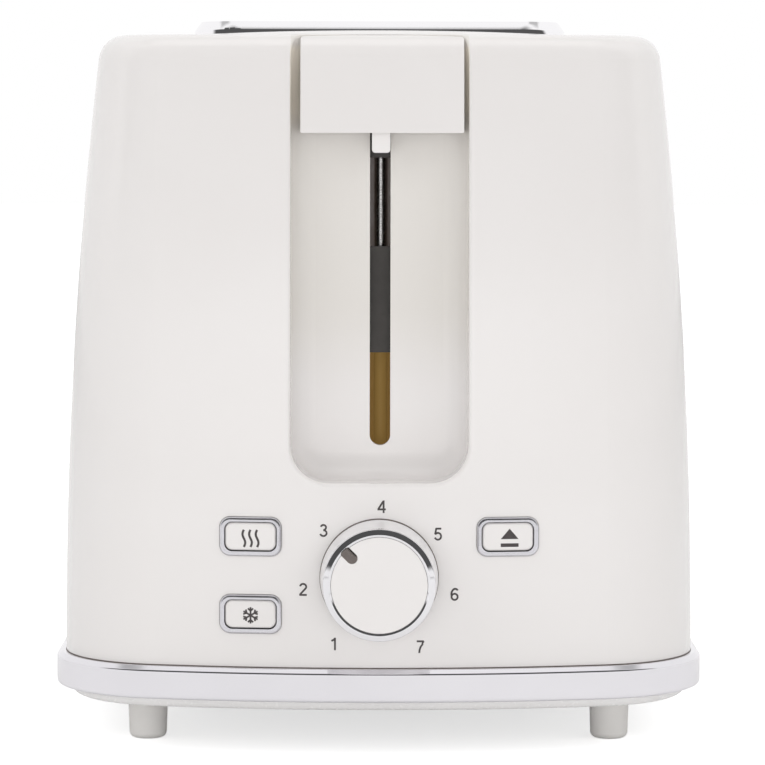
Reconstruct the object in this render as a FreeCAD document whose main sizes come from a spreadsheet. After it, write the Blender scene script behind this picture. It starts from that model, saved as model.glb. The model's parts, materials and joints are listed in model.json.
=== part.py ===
import FreeCAD, Part
import math
import os
import Sketcher

# A two slot pop up toaster in millimetres. Front (the lever end) faces -Y, +X is to the right of someone
# facing it, +Z is up. Every piece is drawn about the middle of the shell and then moved by FRAME_SHIFT, so
# that the origin lies on the floor under the middle of the whole toaster, dial and gland included.

DOC = FreeCAD.newDocument("pop_up_toaster")
Vec = FreeCAD.Vector

SIZES = {
    # shell
    "half_width": 90.2,
    "half_length": 147.0,
    "bulge_radius": 300.0,
    "corner_radius": 33.0,
    "flank_inset": 10.85,
    "shell_bottom": 25.3,
    "body_top": 201.5,
    "wall": 2.5,
    "top_edge_radius": 7.5,
    "panel_depth": 44.0,
    "panel_seam": 8.0,
    # base band, pan and feet
    "band_proud": 2.7,
    "band_inner": 3.5,
    "band_bottom": 16.0,
    "band_bevel": 1.3,
    "pan_bottom": 13.0,
    "pan_inset": 1.5,
    "pan_edge": 2.4,
    "foot_radius": 5.75,
    "foot_tip_radius": 5.35,
    "foot_tip_rounding": 1.8,
    "foot_x": 66.5,
    "foot_y": 112.0,
    # top surround
    "trim_margin": 11.5,
    "trim_half_length": 112.0,
    "trim_height": 4.1,
    "trim_corner": 14.0,
    "trim_edge": 1.6,
    "plug_depth": 5.5,
    "slot_inner_x": 6.0,
    "slot_width": 36.0,
    "slot_half_length": 76.0,
    "slot_corner": 6.0,
    "slot_edge": 1.2,
    "trim_clearance": 0.2,
    # lever channel and slot
    "channel_half_width": 24.8,
    "channel_back": 18.0,
    "channel_bottom": 77.0,
    "channel_corner": 10.5,
    "channel_scoop": 7.0,
    "channel_lip": 0.9,
    "stem_slot_width": 5.8,
    "stem_slot_centre": 0.2,
    "stem_slot_spare": 6.4,
    "stem_slot_top": 186.0,
    "travel": 76.0,
    "lever_side_gap": 2.05,
    "lever_centre": 0.7,
    "lever_bottom": 174.0,
    "lever_gap": 2.8,
    "lever_corner": 1.2,
    "lever_edge": 0.5,
    "stem_corner": 0.9,
    "stem_clearance": 0.7,
    "stem_drop": 5.5,
    # dial
    "dial_height": 50.7,
    "dial_reach": 16.0,
    "dial_back_radius": 16.4,
    "dial_front_radius": 15.5,
    "dial_rim": 2.26,
    "dial_bevel": 1.5,
    "dial_gap": 0.5,
    "shaft_radius": 3.0,
    "shaft_clearance": 0.05,
    "pointer_width": 3.0,
    "pointer_inner": 9.1,
    # buttons
    "button_x": 35.8,
    "upper_button_height": 62.0,
    "lower_button_height": 40.3,
    "bezel_width": 17.3,
    "bezel_height": 10.9,
    "bezel_corner": 3.0,
    "bezel_border": 1.55,
    "cap_corner": 2.0,
    "cap_gap": 0.25,
    "bezel_proud": 0.9,
    "cap_proud": 0.6,
    "bezel_edge": 0.8,
    "cap_edge": 0.6,
    # chassis
    "plate_margin": 4.0,
    "plate_setback": 55.0,
    "plate_thick": 1.0,
    "plate_top": 196.0,
    "reflector_gap": 5.0,
    "reflector_thick": 0.8,
    "card_gap": 4.0,
    "card_thick": 0.6,
    "card_low": 58.0,
    "card_high": 190.0,
    "card_rail": 5.0,
    "card_end_gap": 10.0,
    "ribbon_thick": 0.4,
    "ribbon_width": 1.8,
    "ribbon_pitch": 10.2,
    "ribbon_low": 67.0,
    "guard_gap": 1.0,
    "guard_wire": 0.7,
    "guard_rail": 0.8,
    "guard_pitch": 18.0,
    "guard_low": 48.0,
    "guard_high": 195.0,
    # carriage
    "rod_x": 0.4,
    "rod_setback": 7.0,
    "rod_radius": 2.0,
    "rod_clearance": 0.3,
    "carriage_gap": 2.5,
    "carriage_thick": 1.5,
    "carriage_bottom": 112.0,
    "carriage_top": 190.0,
    "carriage_half_width": 14.0,
    "wing_half_width": 27.0,
    "wing_rise": 12.0,
    "wing_height": 10.0,
    "window_half_width": 4.5,
    "window_rise": 30.0,
    "window_head": 23.0,
    "tab_thick": 1.5,
    "spring_tab_rise": 26.0,
    "armature_half_width": 6.0,
    "armature_thick": 1.5,
    "rack_rise": 20.0,
    "rack_arm_width": 2.0,
    "rack_arm_height": 8.0,
    "finger_length": 20.0,
    "finger_width": 3.0,
    "finger_thick": 1.5,
    "finger_pitch": 14.0,
    "spring_x": 15.0,
    "spring_radius": 3.2,
    "spring_wire": 0.4,
    "spring_end_gap": 0.2,
    "spring_turns": 24.0,
    "magnet_x": 14.0,
    "magnet_gap": 0.3,
    # boards
    "board_thick": 1.6,
    "control_board_setback": 16.0,
    "power_board_gap": 14.0,
    "timer_radius": 8.0,
    "timer_neck_radius": 4.4,
    "timer_depth": 10.0,
    "timer_gap": 0.7,
    # tray and gland
    "tray_half_width": 44.0,
    "tray_bottom": 28.0,
    "tray_height": 8.0,
    "tray_clearance": 0.2,
    "door_half_width": 46.6,
    "door_bottom": 27.4,
    "door_height": 10.2,
    "door_gap": 0.4,
    "gland_height": 54.0,
    "gland_bore": 3.6,
    "gland_body": 5.5,
    "gland_flange": 8.0,
    "gland_reach": 3.0,
}


class Size:
    """A length kept as a number and as the expression of the sheet's cells that it comes from."""

    def __init__(self, number, text):
        self.number = float(number)
        self.text = text

    def __add__(self, other):
        other = as_size(other)
        return Size(self.number + other.number, f"({self.text} + {other.text})")

    def __radd__(self, other):
        return as_size(other) + self

    def __sub__(self, other):
        other = as_size(other)
        return Size(self.number - other.number, f"({self.text} - {other.text})")

    def __rsub__(self, other):
        return as_size(other) - self

    def __mul__(self, other):
        other = as_size(other)
        return Size(self.number * other.number, f"({self.text} * {other.text})")

    def __rmul__(self, other):
        return as_size(other) * self

    def __truediv__(self, other):
        other = as_size(other)
        return Size(self.number / other.number, f"({self.text} / {other.text})")

    def __neg__(self):
        return as_size(0) - self


def as_size(value):
    if isinstance(value, Size):
        return value
    return Size(value, f"({float(value):.6f})")


def make_sheet():
    sheet = DOC.addObject("Spreadsheet::Sheet", "sizes")
    names = {}
    for row, (alias, number) in enumerate(SIZES.items(), start=1):
        sheet.set(f"A{row}", alias)
        sheet.set(f"B{row}", str(number))
        sheet.setAlias(f"B{row}", alias)
        names[alias] = Size(number, f"sizes.{alias}")
    DOC.recompute()
    return names


class Sizes:
    """The sheet's cells as attributes, so that a size reads s.half_width."""

    def __init__(self, names):
        self.__dict__.update(names)


s = Sizes(make_sheet())

# sizes and places that follow from others
s.lever_half_width = s.channel_half_width - s.lever_side_gap
s.stem_width = s.stem_slot_width - s.stem_clearance
s.stem_bottom = s.lever_bottom - s.stem_drop
s.stem_slot_bottom = s.stem_bottom - s.travel - s.stem_slot_spare
s.dial_face_radius = s.dial_front_radius - s.dial_rim
s.cap_width = s.bezel_width - s.bezel_border * 2
s.cap_height = s.bezel_height - s.bezel_border * 2
s.carriage_y = s.half_length - s.channel_back - s.wall - s.carriage_gap
s.rod_y = s.carriage_y - s.rod_setback
s.plate_y = s.half_length - s.plate_setback
s.control_board_y = s.half_length - s.control_board_setback
s.power_board_y = s.plate_y + s.power_board_gap
s.guard_inner_x = s.slot_inner_x - s.guard_gap
s.guard_outer_x = s.slot_inner_x + s.slot_width + s.guard_gap
s.outer_card_x = s.guard_outer_x + s.card_gap
s.reflector_x = s.outer_card_x + s.reflector_gap
s.plate_half_width = s.reflector_x + s.plate_margin
s.trim_half_width = s.slot_inner_x + s.slot_width + s.trim_margin

FRAME_SHIFT = (s.dial_reach - s.gland_reach) / 2
SHEET_WORD = "sizes."
NODES = []


def bind(thing, path, size):
    size = as_size(size)
    thing.setExpression(path, size.text)


def place(thing, x=0, y=0, z=0):
    bind(thing, "Placement.Base.x", x)
    bind(thing, "Placement.Base.y", y)
    bind(thing, "Placement.Base.z", z)
    return thing


def node(thing, label):
    """Name a finished sub-part and move it from the shell's middle to the toaster's own frame."""
    thing.Label = label
    if thing.TypeId in ("Part::Box", "Part::Cylinder", "Part::Cone", "Part::Sweep"):
        holder = DOC.addObject("Part::Compound", f"{label}_holder")
        holder.Links = [thing]
        thing.Label = f"{label}_blank"
        holder.Label = label
        thing = holder
    bind(thing, "Placement.Base.y", FRAME_SHIFT)
    NODES.append(thing)
    return thing


# ---- plain solids -------------------------------------------------------------------------------------


def box(name, x, y, z):
    """A block between a low and a high value on each axis."""
    block = DOC.addObject("Part::Box", name)
    for prop, (low, high) in (("Length", x), ("Width", y), ("Height", z)):
        bind(block, prop, as_size(high) - low)
    return place(block, x[0], y[0], z[0])


def rod(name, radius, axis, centre, low, high):
    """A cylinder along an axis, from low to high; centre holds its other two coordinates in order."""
    bar = DOC.addObject("Part::Cylinder", name)
    bind(bar, "Radius", radius)
    bind(bar, "Height", as_size(high) - low)
    turns = {"X": (Vec(0, 1, 0), 90), "Y": (Vec(1, 0, 0), -90), "Z": (Vec(0, 0, 1), 0)}
    bar.Placement = FreeCAD.Placement(Vec(0, 0, 0), FreeCAD.Rotation(*turns[axis]))
    spots = {"X": (low, *centre), "Y": (centre[0], low, centre[1]), "Z": (*centre, low)}
    return place(bar, *spots[axis])


def cut(name, base, tools):
    for number, tool in enumerate(tools):
        result = DOC.addObject("Part::Cut", f"{name}_{number}")
        result.Base = base
        result.Tool = tool
        base = result
    return base


def fuse(name, pieces):
    joined = DOC.addObject("Part::MultiFuse", name)
    joined.Shapes = pieces
    return joined


def common(name, first, second):
    shared = DOC.addObject("Part::Common", name)
    shared.Base = first
    shared.Tool = second
    return shared


def group(name, pieces):
    together = DOC.addObject("Part::Compound", name)
    together.Links = pieces
    return together


# ---- sketches -----------------------------------------------------------------------------------------


def origin_plane(body, role):
    return [feature for feature in body.Origin.OriginFeatures if feature.Role == role][0]


def new_sketch(body, name, role, offset):
    """A sketch on one of the body's own origin planes, raised along that plane's normal."""
    sketch = body.newObject("Sketcher::SketchObject", name)
    sketch.AttachmentSupport = [(origin_plane(body, role), "")]
    sketch.MapMode = "FlatFace"
    bind(sketch, "AttachmentOffset.Base.z", offset)
    return sketch


def dimension(sketch, constraint, size):
    """Add a constraint and tie its value to the sheet."""
    index = sketch.addConstraint(constraint)
    if SHEET_WORD in size.text:
        sketch.renameConstraint(index, f"size_{index}")
        sketch.setExpression(f"Constraints.size_{index}", size.text)


def fix_coordinate(sketch, geometry, point, direction, size):
    size = as_size(size)
    if abs(size.number) < 1e-9:
        sketch.addConstraint(Sketcher.Constraint("PointOnObject", geometry, point, -2 if direction == "X" else -1))
        return
    dimension(sketch, Sketcher.Constraint(f"Distance{direction}", -1, 1, geometry, point, size.number), size)


def arc(centre_u, centre_v, radius, start, end):
    circle = Part.Circle(Vec(centre_u, centre_v, 0), Vec(0, 0, 1), radius)
    return Part.ArcOfCircle(circle, start, end)


def join_tangent(sketch, edges):
    for index, edge in enumerate(edges):
        following = edges[(index + 1) % len(edges)]
        sketch.addConstraint(Sketcher.Constraint("Tangent", edge, 2, following, 1))


def rounded_rectangle(sketch, low_u, high_u, low_v, high_v, radius):
    """Four straight sides joined by four equal arcs, anticlockwise from the bottom side."""
    low_u, high_u, low_v, high_v, radius = map(as_size, (low_u, high_u, low_v, high_v, radius))
    left, right, bottom, top, turn = low_u.number, high_u.number, low_v.number, high_v.number, radius.number
    pi = math.pi
    shapes = [
        Part.LineSegment(Vec(left + turn, bottom, 0), Vec(right - turn, bottom, 0)),
        arc(right - turn, bottom + turn, turn, 1.5 * pi, 2 * pi),
        Part.LineSegment(Vec(right, bottom + turn, 0), Vec(right, top - turn, 0)),
        arc(right - turn, top - turn, turn, 0, 0.5 * pi),
        Part.LineSegment(Vec(right - turn, top, 0), Vec(left + turn, top, 0)),
        arc(left + turn, top - turn, turn, 0.5 * pi, pi),
        Part.LineSegment(Vec(left, top - turn, 0), Vec(left, bottom + turn, 0)),
        arc(left + turn, bottom + turn, turn, pi, 1.5 * pi),
    ]
    edges = [sketch.addGeometry(shape) for shape in shapes]
    join_tangent(sketch, edges)
    for side in (0, 4):
        sketch.addConstraint(Sketcher.Constraint("Horizontal", edges[side]))
    for side in (2, 6):
        sketch.addConstraint(Sketcher.Constraint("Vertical", edges[side]))
    for corner in (1, 3, 5, 7):
        dimension(sketch, Sketcher.Constraint("Radius", edges[corner], turn), radius)
    fix_coordinate(sketch, edges[0], 1, "Y", low_v)
    fix_coordinate(sketch, edges[2], 1, "X", high_u)
    fix_coordinate(sketch, edges[4], 1, "Y", high_v)
    fix_coordinate(sketch, edges[6], 1, "X", low_u)
    return sketch


def shell_plan(sketch, half_width, half_length, grown):
    """The shell's plan: bulged ends and straight sides joined by rounded corners, grown outward evenly."""
    half_width = as_size(half_width) + grown
    half_length = as_size(half_length) + grown
    bulge = s.bulge_radius + grown
    corner = s.corner_radius + grown
    corner_x = half_width.number - corner.number
    bulge_y = bulge.number - half_length.number
    reach = bulge.number - corner.number
    corner_y = math.sqrt(reach * reach - corner_x * corner_x) - bulge_y
    lean = math.atan2(corner_y + bulge_y, corner_x)
    big, small, pi = bulge.number, corner.number, math.pi
    side = half_width.number
    shapes = [
        arc(0, -bulge_y, big, lean, pi - lean),
        arc(-corner_x, corner_y, small, pi - lean, pi),
        Part.LineSegment(Vec(-side, corner_y, 0), Vec(-side, -corner_y, 0)),
        arc(-corner_x, -corner_y, small, pi, pi + lean),
        arc(0, bulge_y, big, pi + lean, 2 * pi - lean),
        arc(corner_x, -corner_y, small, 2 * pi - lean, 2 * pi),
        Part.LineSegment(Vec(side, -corner_y, 0), Vec(side, corner_y, 0)),
        arc(corner_x, corner_y, small, 0, lean),
    ]
    edges = [sketch.addGeometry(shape) for shape in shapes]
    join_tangent(sketch, edges)
    for end in (0, 4):
        sketch.addConstraint(Sketcher.Constraint("PointOnObject", edges[end], 3, -2))
        dimension(sketch, Sketcher.Constraint("Radius", edges[end], big), bulge)
    for turn in (1, 3, 5, 7):
        dimension(sketch, Sketcher.Constraint("Radius", edges[turn], small), corner)
    for flank in (2, 6):
        sketch.addConstraint(Sketcher.Constraint("Vertical", edges[flank]))
    fix_coordinate(sketch, edges[0], 3, "Y", half_length - bulge)
    fix_coordinate(sketch, edges[4], 3, "Y", bulge - half_length)
    fix_coordinate(sketch, edges[2], 1, "X", -half_width)
    fix_coordinate(sketch, edges[6], 1, "X", half_width)
    return sketch


def pad(body, name, sketch, length):
    feature = body.newObject("PartDesign::Pad", name)
    feature.Profile = sketch
    bind(feature, "Length", length)
    body.Tip = feature
    return feature


def pocket_through(body, name, sketch):
    feature = body.newObject("PartDesign::Pocket", name)
    feature.Profile = sketch
    feature.Type = "ThroughAll"
    feature.Midplane = True
    body.Tip = feature
    return feature


def edges_where(shape, test):
    """Names of the edges whose every sampled point passes the test."""
    found = []
    for number, edge in enumerate(shape.Edges, start=1):
        first, last = edge.ParameterRange
        points = [edge.valueAt(first + (last - first) * share / 4) for share in range(5)]
        if all(test(point) for point in points):
            found.append(f"Edge{number}")
    return found


def round_edges(body, kind, name, base, test, size):
    """Fillet or chamfer the edges of a feature that pass the test."""
    DOC.recompute()
    feature = body.newObject(f"PartDesign::{kind}", name)
    feature.Base = (base, edges_where(base.Shape, test))
    bind(feature, "Radius" if kind == "Fillet" else "Size", size)
    body.Tip = feature
    return feature


def rounded_block(name, role, low_u, high_u, low_v, high_v, radius, low, high):
    """A rounded rectangle drawn on an origin plane and padded from low to high along that plane's normal.

    On XY_Plane u is X, v is Y and the pad runs up. On XZ_Plane u is X, v is Z and the normal is -Y, so low
    and high are distances in front of the middle.
    """
    body = DOC.addObject("PartDesign::Body", name)
    sketch = new_sketch(body, f"{name}_outline", role, low)
    rounded_rectangle(sketch, low_u, high_u, low_v, high_v, radius)
    pad(body, f"{name}_pad", sketch, as_size(high) - low)
    return body


# ---- shell --------------------------------------------------------------------------------------------


def tapered_form(name, grown, top, edge_radius):
    """The shell's outside, grown outward: its flanks lean in along a parabola from bottom to top."""
    tall = top - s.shell_bottom
    full = s.body_top - s.shell_bottom
    levels = []
    for step in range(3):
        share = tall * (step / 2) / full
        sketch = DOC.addObject("Sketcher::SketchObject", f"{name}_level_{step}")
        bind(sketch, "Placement.Base.z", s.shell_bottom + tall * (step / 2))
        shell_plan(sketch, s.half_width, s.half_length, grown - s.flank_inset * share * share)
        levels.append(sketch)
    loft = DOC.addObject("Part::Loft", f"{name}_loft")
    loft.Sections = levels
    loft.Solid = True
    DOC.recompute()
    return fillet_rim(name, loft, lambda point: point.z > top.number - 0.01, edge_radius)


def fillet_rim(name, base, test, radius):
    """Round the edges of a Part solid that pass the test."""
    rounded = DOC.addObject("Part::Fillet", name)
    rounded.Base = base
    radius = as_size(radius).number
    rounded.Edges = [(int(edge[4:]), radius, radius) for edge in edges_where(base.Shape, test)]
    return rounded


def channel_tool(name, grown):
    """The lever channel's space, grown outward: a scoop with rounded lower corners and rounded back edges."""
    depth = s.half_length - s.channel_back - grown
    width = s.channel_half_width + grown
    body = DOC.addObject("PartDesign::Body", name)
    sketch = new_sketch(body, f"{name}_outline", "XZ_Plane", depth)
    rounded_rectangle(sketch, -width, width, s.channel_bottom - grown, s.body_top + 30, s.channel_corner + grown)
    block = pad(body, f"{name}_pad", sketch, 40)
    back = -depth.number
    roof = s.body_top.number + 15
    round_edges(body, "Fillet", f"{name}_scoop", block,
                lambda point: abs(point.y - back) < 0.01 and point.z < roof, s.channel_scoop + grown)
    return body


def make_shell(outer):
    cavity = tapered_form("shell_cavity", -s.wall, s.body_top - s.wall, s.top_edge_radius - s.wall)
    backing = channel_tool("channel_backing", s.wall)
    hollow = cut("shell_hollow", cavity, [backing])
    channel = channel_tool("channel_space", as_size(0))
    half_slot = s.stem_slot_width / 2
    slot_y = (-s.half_length, -(s.half_length - s.channel_back - s.wall - 3))
    slot_low = s.stem_slot_bottom + half_slot
    recessed = cut("shell_recessed", outer, [hollow, channel])
    DOC.recompute()
    skin = on_skin(outer)
    reach = s.channel_half_width.number + 0.05
    mouth = fillet_rim("channel_lip_round", recessed, lambda point: abs(point.x) < reach
                       and point.z > s.channel_bottom.number - 1 and point.y < 0 and skin(point), s.channel_lip)
    tools = [
        box("stem_slot", (s.stem_slot_centre - half_slot, s.stem_slot_centre + half_slot), slot_y,
            (slot_low, s.stem_slot_top)),
        rod("stem_slot_end", half_slot, "Y", (s.stem_slot_centre, slot_low), *slot_y),
        rounded_block("bread_opening", "XY_Plane", *plug_outline(s.trim_clearance), s.slot_corner + 2,
                      s.body_top - 10, s.body_top + 5),
        rod("dial_hole", s.shaft_radius + 0.6, "Y", (0, s.dial_height), -s.half_length - 5, -s.half_length + 10),
        rod("gland_hole", s.gland_body + 0.1, "Y", (0, s.gland_height), s.half_length - 10, s.half_length + 5),
        box("tray_doorway", (-s.door_half_width - s.door_gap, s.door_half_width + s.door_gap),
            (s.half_length - 14, s.half_length + 5),
            (s.door_bottom - s.door_gap, s.door_bottom + s.door_height + s.door_gap)),
    ]
    for name, x, z in button_places():
        tools.append(rounded_block(f"{name}_hole", "XZ_Plane", *button_outline(x, z, s.bezel_width,
                     s.bezel_height, 0.1), s.bezel_corner + 0.1, s.half_length - 12, s.half_length + 5))
    shell = cut("shell_cut", mouth, tools)
    bosses = []
    for number, (x, z) in enumerate(board_fixings()):
        bosses.append(rod(f"board_boss_{number}", 3, "Y", (x, z), -s.half_length + s.wall + 3,
                          -s.control_board_y))
    whole = fuse("shell_with_bosses", [shell, *bosses])
    for label, spans in shell_panels().items():
        node(common(f"{label}_cut", whole, box(f"{label}_space", *spans)), label)


def shell_panels():
    """The blocks that divide the shell into its five moulded panels, which meet edge to edge."""
    side = s.half_width + 5
    end = s.half_length + 5
    split = s.half_length - s.panel_depth
    seam = s.body_top - s.panel_seam
    walls = (s.shell_bottom - 5, seam)
    return {
        "shell_front": ((-side, side), (-end, -split), walls),
        "shell_rear": ((-side, side), (split, end), walls),
        "shell_left": ((-side, 0), (-split, split), walls),
        "shell_right": ((0, side), (-split, split), walls),
        "shell_top": ((-side, side), (-end, end), (seam, s.body_top + 5)),
    }


def on_skin(outer):
    """A test for points that lie on the shell's outside."""
    surface = outer.Shape.Shells[0]
    return lambda point: surface.distToShape(Part.Vertex(point))[0] < 0.02


def plug_outline(gap):
    """The outline, in X and Y, of the part of the top surround that drops into the shell."""
    reach_x = s.slot_inner_x + s.slot_width + 2.5 + gap
    reach_y = s.slot_half_length + 2.5 + gap
    return -reach_x, reach_x, -reach_y, reach_y


def board_fixings():
    return [(-44, 31), (44, 31), (-44, 71), (44, 71)]


def make_top_trim():
    """The bright surround on top and the collar under it that drops into the shell."""
    body = DOC.addObject("PartDesign::Body", "top_trim_body")
    rim = new_sketch(body, "trim_outline", "XY_Plane", s.body_top)
    rounded_rectangle(rim, -s.trim_half_width, s.trim_half_width, -s.trim_half_length, s.trim_half_length,
                      s.trim_corner)
    plate = pad(body, "trim_plate", rim, s.trim_height)
    top = s.body_top.number + s.trim_height.number
    round_edges(body, "Fillet", "trim_rounding", plate, lambda point: point.z > top - 0.01, s.trim_edge)
    last = cut_bread_slots(body, "trim")
    inner = s.trim_half_width.number - s.trim_edge.number - 1
    round_edges(body, "Fillet", "slot_rounding", last,
                lambda point: point.z > top - 0.01 and abs(point.x) < inner
                and abs(point.y) < s.slot_half_length.number + 1, s.slot_edge)
    node(body, "top_trim")
    collar = DOC.addObject("PartDesign::Body", "slot_collar_body")
    plug = new_sketch(collar, "plug_outline", "XY_Plane", s.body_top - s.plug_depth)
    rounded_rectangle(plug, *plug_outline(as_size(0)), s.slot_corner + 2)
    pad(collar, "collar_block", plug, s.plug_depth)
    cut_bread_slots(collar, "collar")
    node(collar, "slot_collar")


def cut_bread_slots(body, name):
    for side in (-1, 1):
        slot = new_sketch(body, f"{name}_bread_slot_{side + 1}", "XY_Plane", s.body_top)
        low, high = s.slot_inner_x * side, (s.slot_inner_x + s.slot_width) * side
        if side < 0:
            low, high = high, low
        rounded_rectangle(slot, low, high, -s.slot_half_length, s.slot_half_length, s.slot_corner)
        last = pocket_through(body, f"{name}_bread_slot_cut_{side + 1}", slot)
    return last


# ---- base ---------------------------------------------------------------------------------------------


def make_base_ring():
    body = DOC.addObject("PartDesign::Body", "base_ring_body")
    outside = shell_plan(new_sketch(body, "band_outside", "XY_Plane", s.band_bottom), s.half_width,
                         s.half_length, s.band_proud)
    band = pad(body, "band", outside, s.shell_bottom - s.band_bottom)
    top = s.shell_bottom.number
    bevel = round_edges(body, "Chamfer", "band_bevel_cut", band, lambda point: point.z > top - 0.01, s.band_bevel)
    low = s.band_bottom.number
    round_edges(body, "Fillet", "band_lower_edge", bevel, lambda point: point.z < low + 0.01, 0.8)
    inside = shell_plan(new_sketch(body, "band_inside", "XY_Plane", s.band_bottom), s.half_width, s.half_length,
                        -s.band_inner)
    pocket_through(body, "band_hollow", inside)
    return node(body, "base_ring")


def make_base_pan():
    body = DOC.addObject("PartDesign::Body", "base_pan_body")
    outline = shell_plan(new_sketch(body, "pan_outline", "XY_Plane", s.pan_bottom), s.half_width, s.half_length,
                         -s.pan_inset)
    plate = pad(body, "pan_plate", outline, s.band_bottom - s.pan_bottom)
    low = s.pan_bottom.number
    round_edges(body, "Fillet", "pan_lower_edge", plate, lambda point: point.z < low + 0.01, s.pan_edge)
    vent = new_sketch(body, "vent_outline", "XY_Plane", s.band_bottom)
    rounded_rectangle(vent, -30, 30, -52, -48, 1.5)
    first = pocket_through(body, "vent", vent)
    DOC.recompute()
    row = body.newObject("PartDesign::LinearPattern", "vents")
    row.Originals = [first]
    row.Direction = (vent, ["V_Axis"])
    row.Length = 100
    row.Occurrences = 11
    body.Tip = row
    holes = [rod(f"pan_hole_{n}", 1.6, "Z", spot, s.pan_bottom - 2, s.band_bottom + 2)
             for n, spot in enumerate(screw_places())]
    return node(cut("pan_with_holes", body, holes), "base_pan")


def screw_places():
    across = s.plate_half_width - 5
    along = s.plate_y - 6
    return [(-across, -along), (across, -along), (-across, along), (across, along)]


def make_feet():
    for end, side_y in (("front", -1), ("rear", 1)):
        for side, side_x in (("left", -1), ("right", 1)):
            label = f"foot_{end}_{side}"
            cone = DOC.addObject("Part::Cone", f"{label}_cone")
            bind(cone, "Radius1", s.foot_tip_radius)
            bind(cone, "Radius2", s.foot_radius)
            bind(cone, "Height", s.pan_bottom)
            place(cone, s.foot_x * side_x, s.foot_y * side_y, 0)
            DOC.recompute()
            node(fillet_rim(f"{label}_round", cone, lambda point: point.z < 0.01, s.foot_tip_rounding), label)


def make_screws():
    screws = []
    for number, spot in enumerate(screw_places()):
        head = rod(f"screw_head_{number}", 3.2, "Z", spot, s.pan_bottom - 1.6, s.pan_bottom)
        shank = rod(f"screw_shank_{number}", 1.5, "Z", spot, s.pan_bottom - 0.5, s.band_bottom + 4)
        screws.append(fuse(f"screw_{number}", [head, shank]))
    node(group("screw_group", screws), "base_screws")


# ---- lever and carriage -------------------------------------------------------------------------------


def make_lever(outer):
    """The handle fills the channel's top and shares the shell's own outside."""
    left, right = s.lever_centre - s.lever_half_width, s.lever_centre + s.lever_half_width
    back = s.half_length - s.channel_back + s.lever_gap
    body = DOC.addObject("PartDesign::Body", "lever_block")
    sketch = new_sketch(body, "lever_plan", "XY_Plane", s.lever_bottom)
    rounded_rectangle(sketch, left, right, -s.half_length - 20, -back, s.lever_corner)
    block = pad(body, "lever_pad", sketch, s.body_top - s.lever_bottom + 5)
    low = s.lever_bottom.number
    round_edges(body, "Fillet", "lever_under_edge", block, lambda point: point.z < low + 0.01, s.lever_edge)
    node(common("lever_form", outer, body), "lever_handle")

    stem_x = (s.rod_x - s.stem_width / 2, s.rod_x + s.stem_width / 2)
    reach = (-s.carriage_y, s.lever_bottom + 8)
    under = rounded_block("stem_under", "XZ_Plane", *stem_x, s.stem_bottom, s.lever_bottom, s.stem_corner,
                          s.carriage_y, s.half_length - 9)
    neck = box("stem_neck", stem_x, (-back, reach[0]), (s.stem_bottom + 2, reach[1]))
    fill = box("stem_corner", stem_x, (-s.half_length + 9, reach[0]), (s.stem_bottom + 2, s.lever_bottom))
    node(fuse("stem_fused", [under, neck, fill]), "lever_stem")


def make_carriage():
    """A plate with a tall window, guide tabs that ride on the rod, a spring tab and an armature tab."""
    face = -s.carriage_y
    rear = face + s.carriage_thick
    tab_end = -s.rod_y + s.armature_half_width - 1
    low = s.carriage_bottom
    wing_low = low + s.wing_rise
    spring_tab = low + s.spring_tab_rise
    magnet_side = -s.magnet_x - s.armature_half_width
    spring_side = (s.spring_x - 5, s.spring_x + 4)
    plate = box("carriage_plate", (-s.carriage_half_width, s.carriage_half_width), (face, rear),
                (low, s.carriage_top))
    wings = box("carriage_wings", (-s.wing_half_width, s.wing_half_width), (face, rear),
                (wing_low, wing_low + s.wing_height))
    window = box("carriage_window", (s.rod_x - s.window_half_width, s.rod_x + s.window_half_width),
                 (face - 1, rear + 1), (low + s.window_rise, s.carriage_top - s.window_head))
    tabs = [
        box("carriage_upper_tab", (-6, 7), (rear, tab_end), (s.carriage_top - 4, s.carriage_top - 2)),
        box("carriage_lower_tab", (magnet_side, 8), (rear, tab_end), (low, low + s.tab_thick)),
        box("carriage_foot", (magnet_side, 0), (face, rear), (low, low + 8)),
        box("carriage_spring_tab", spring_side, (rear, tab_end), (spring_tab, spring_tab + s.tab_thick)),
        box("carriage_spring_arm", spring_side, (face, rear), (spring_tab - 6, spring_tab + s.tab_thick)),
    ]
    hole = rod("carriage_bore", s.rod_radius + s.rod_clearance, "Z", (s.rod_x, -s.rod_y), low - 1,
               s.carriage_top + 1)
    body = fuse("carriage_fused", [plate, wings, *tabs])
    node(cut("carriage_cut", body, [window, hole]), "carriage_bracket")

    armature = box("armature_plate", (magnet_side, -s.magnet_x + s.armature_half_width),
                   (-s.rod_y - 5, -s.rod_y + 5), (low - s.armature_thick, low))
    node(armature, "armature")

    rack_top = low + s.rack_rise
    for side, sign in (("left", -1), ("right", 1)):
        centre = (s.slot_inner_x + s.slot_width / 2) * sign
        arm = box(f"rack_arm_{side}", (centre - s.rack_arm_width / 2, centre + s.rack_arm_width / 2),
                  (rear, s.slot_half_length), (rack_top - s.rack_arm_height, rack_top))
        fingers = []
        for number in range(11):
            y = s.finger_pitch * (number - 5)
            fingers.append(box(f"rack_finger_{side}_{number}",
                               (centre - s.finger_length / 2, centre + s.finger_length / 2),
                               (y - s.finger_width / 2, y + s.finger_width / 2),
                               (rack_top - s.finger_thick, rack_top)))
        node(fuse(f"rack_{side}", [arm, *fingers]), f"bread_rack_{side}")


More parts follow.
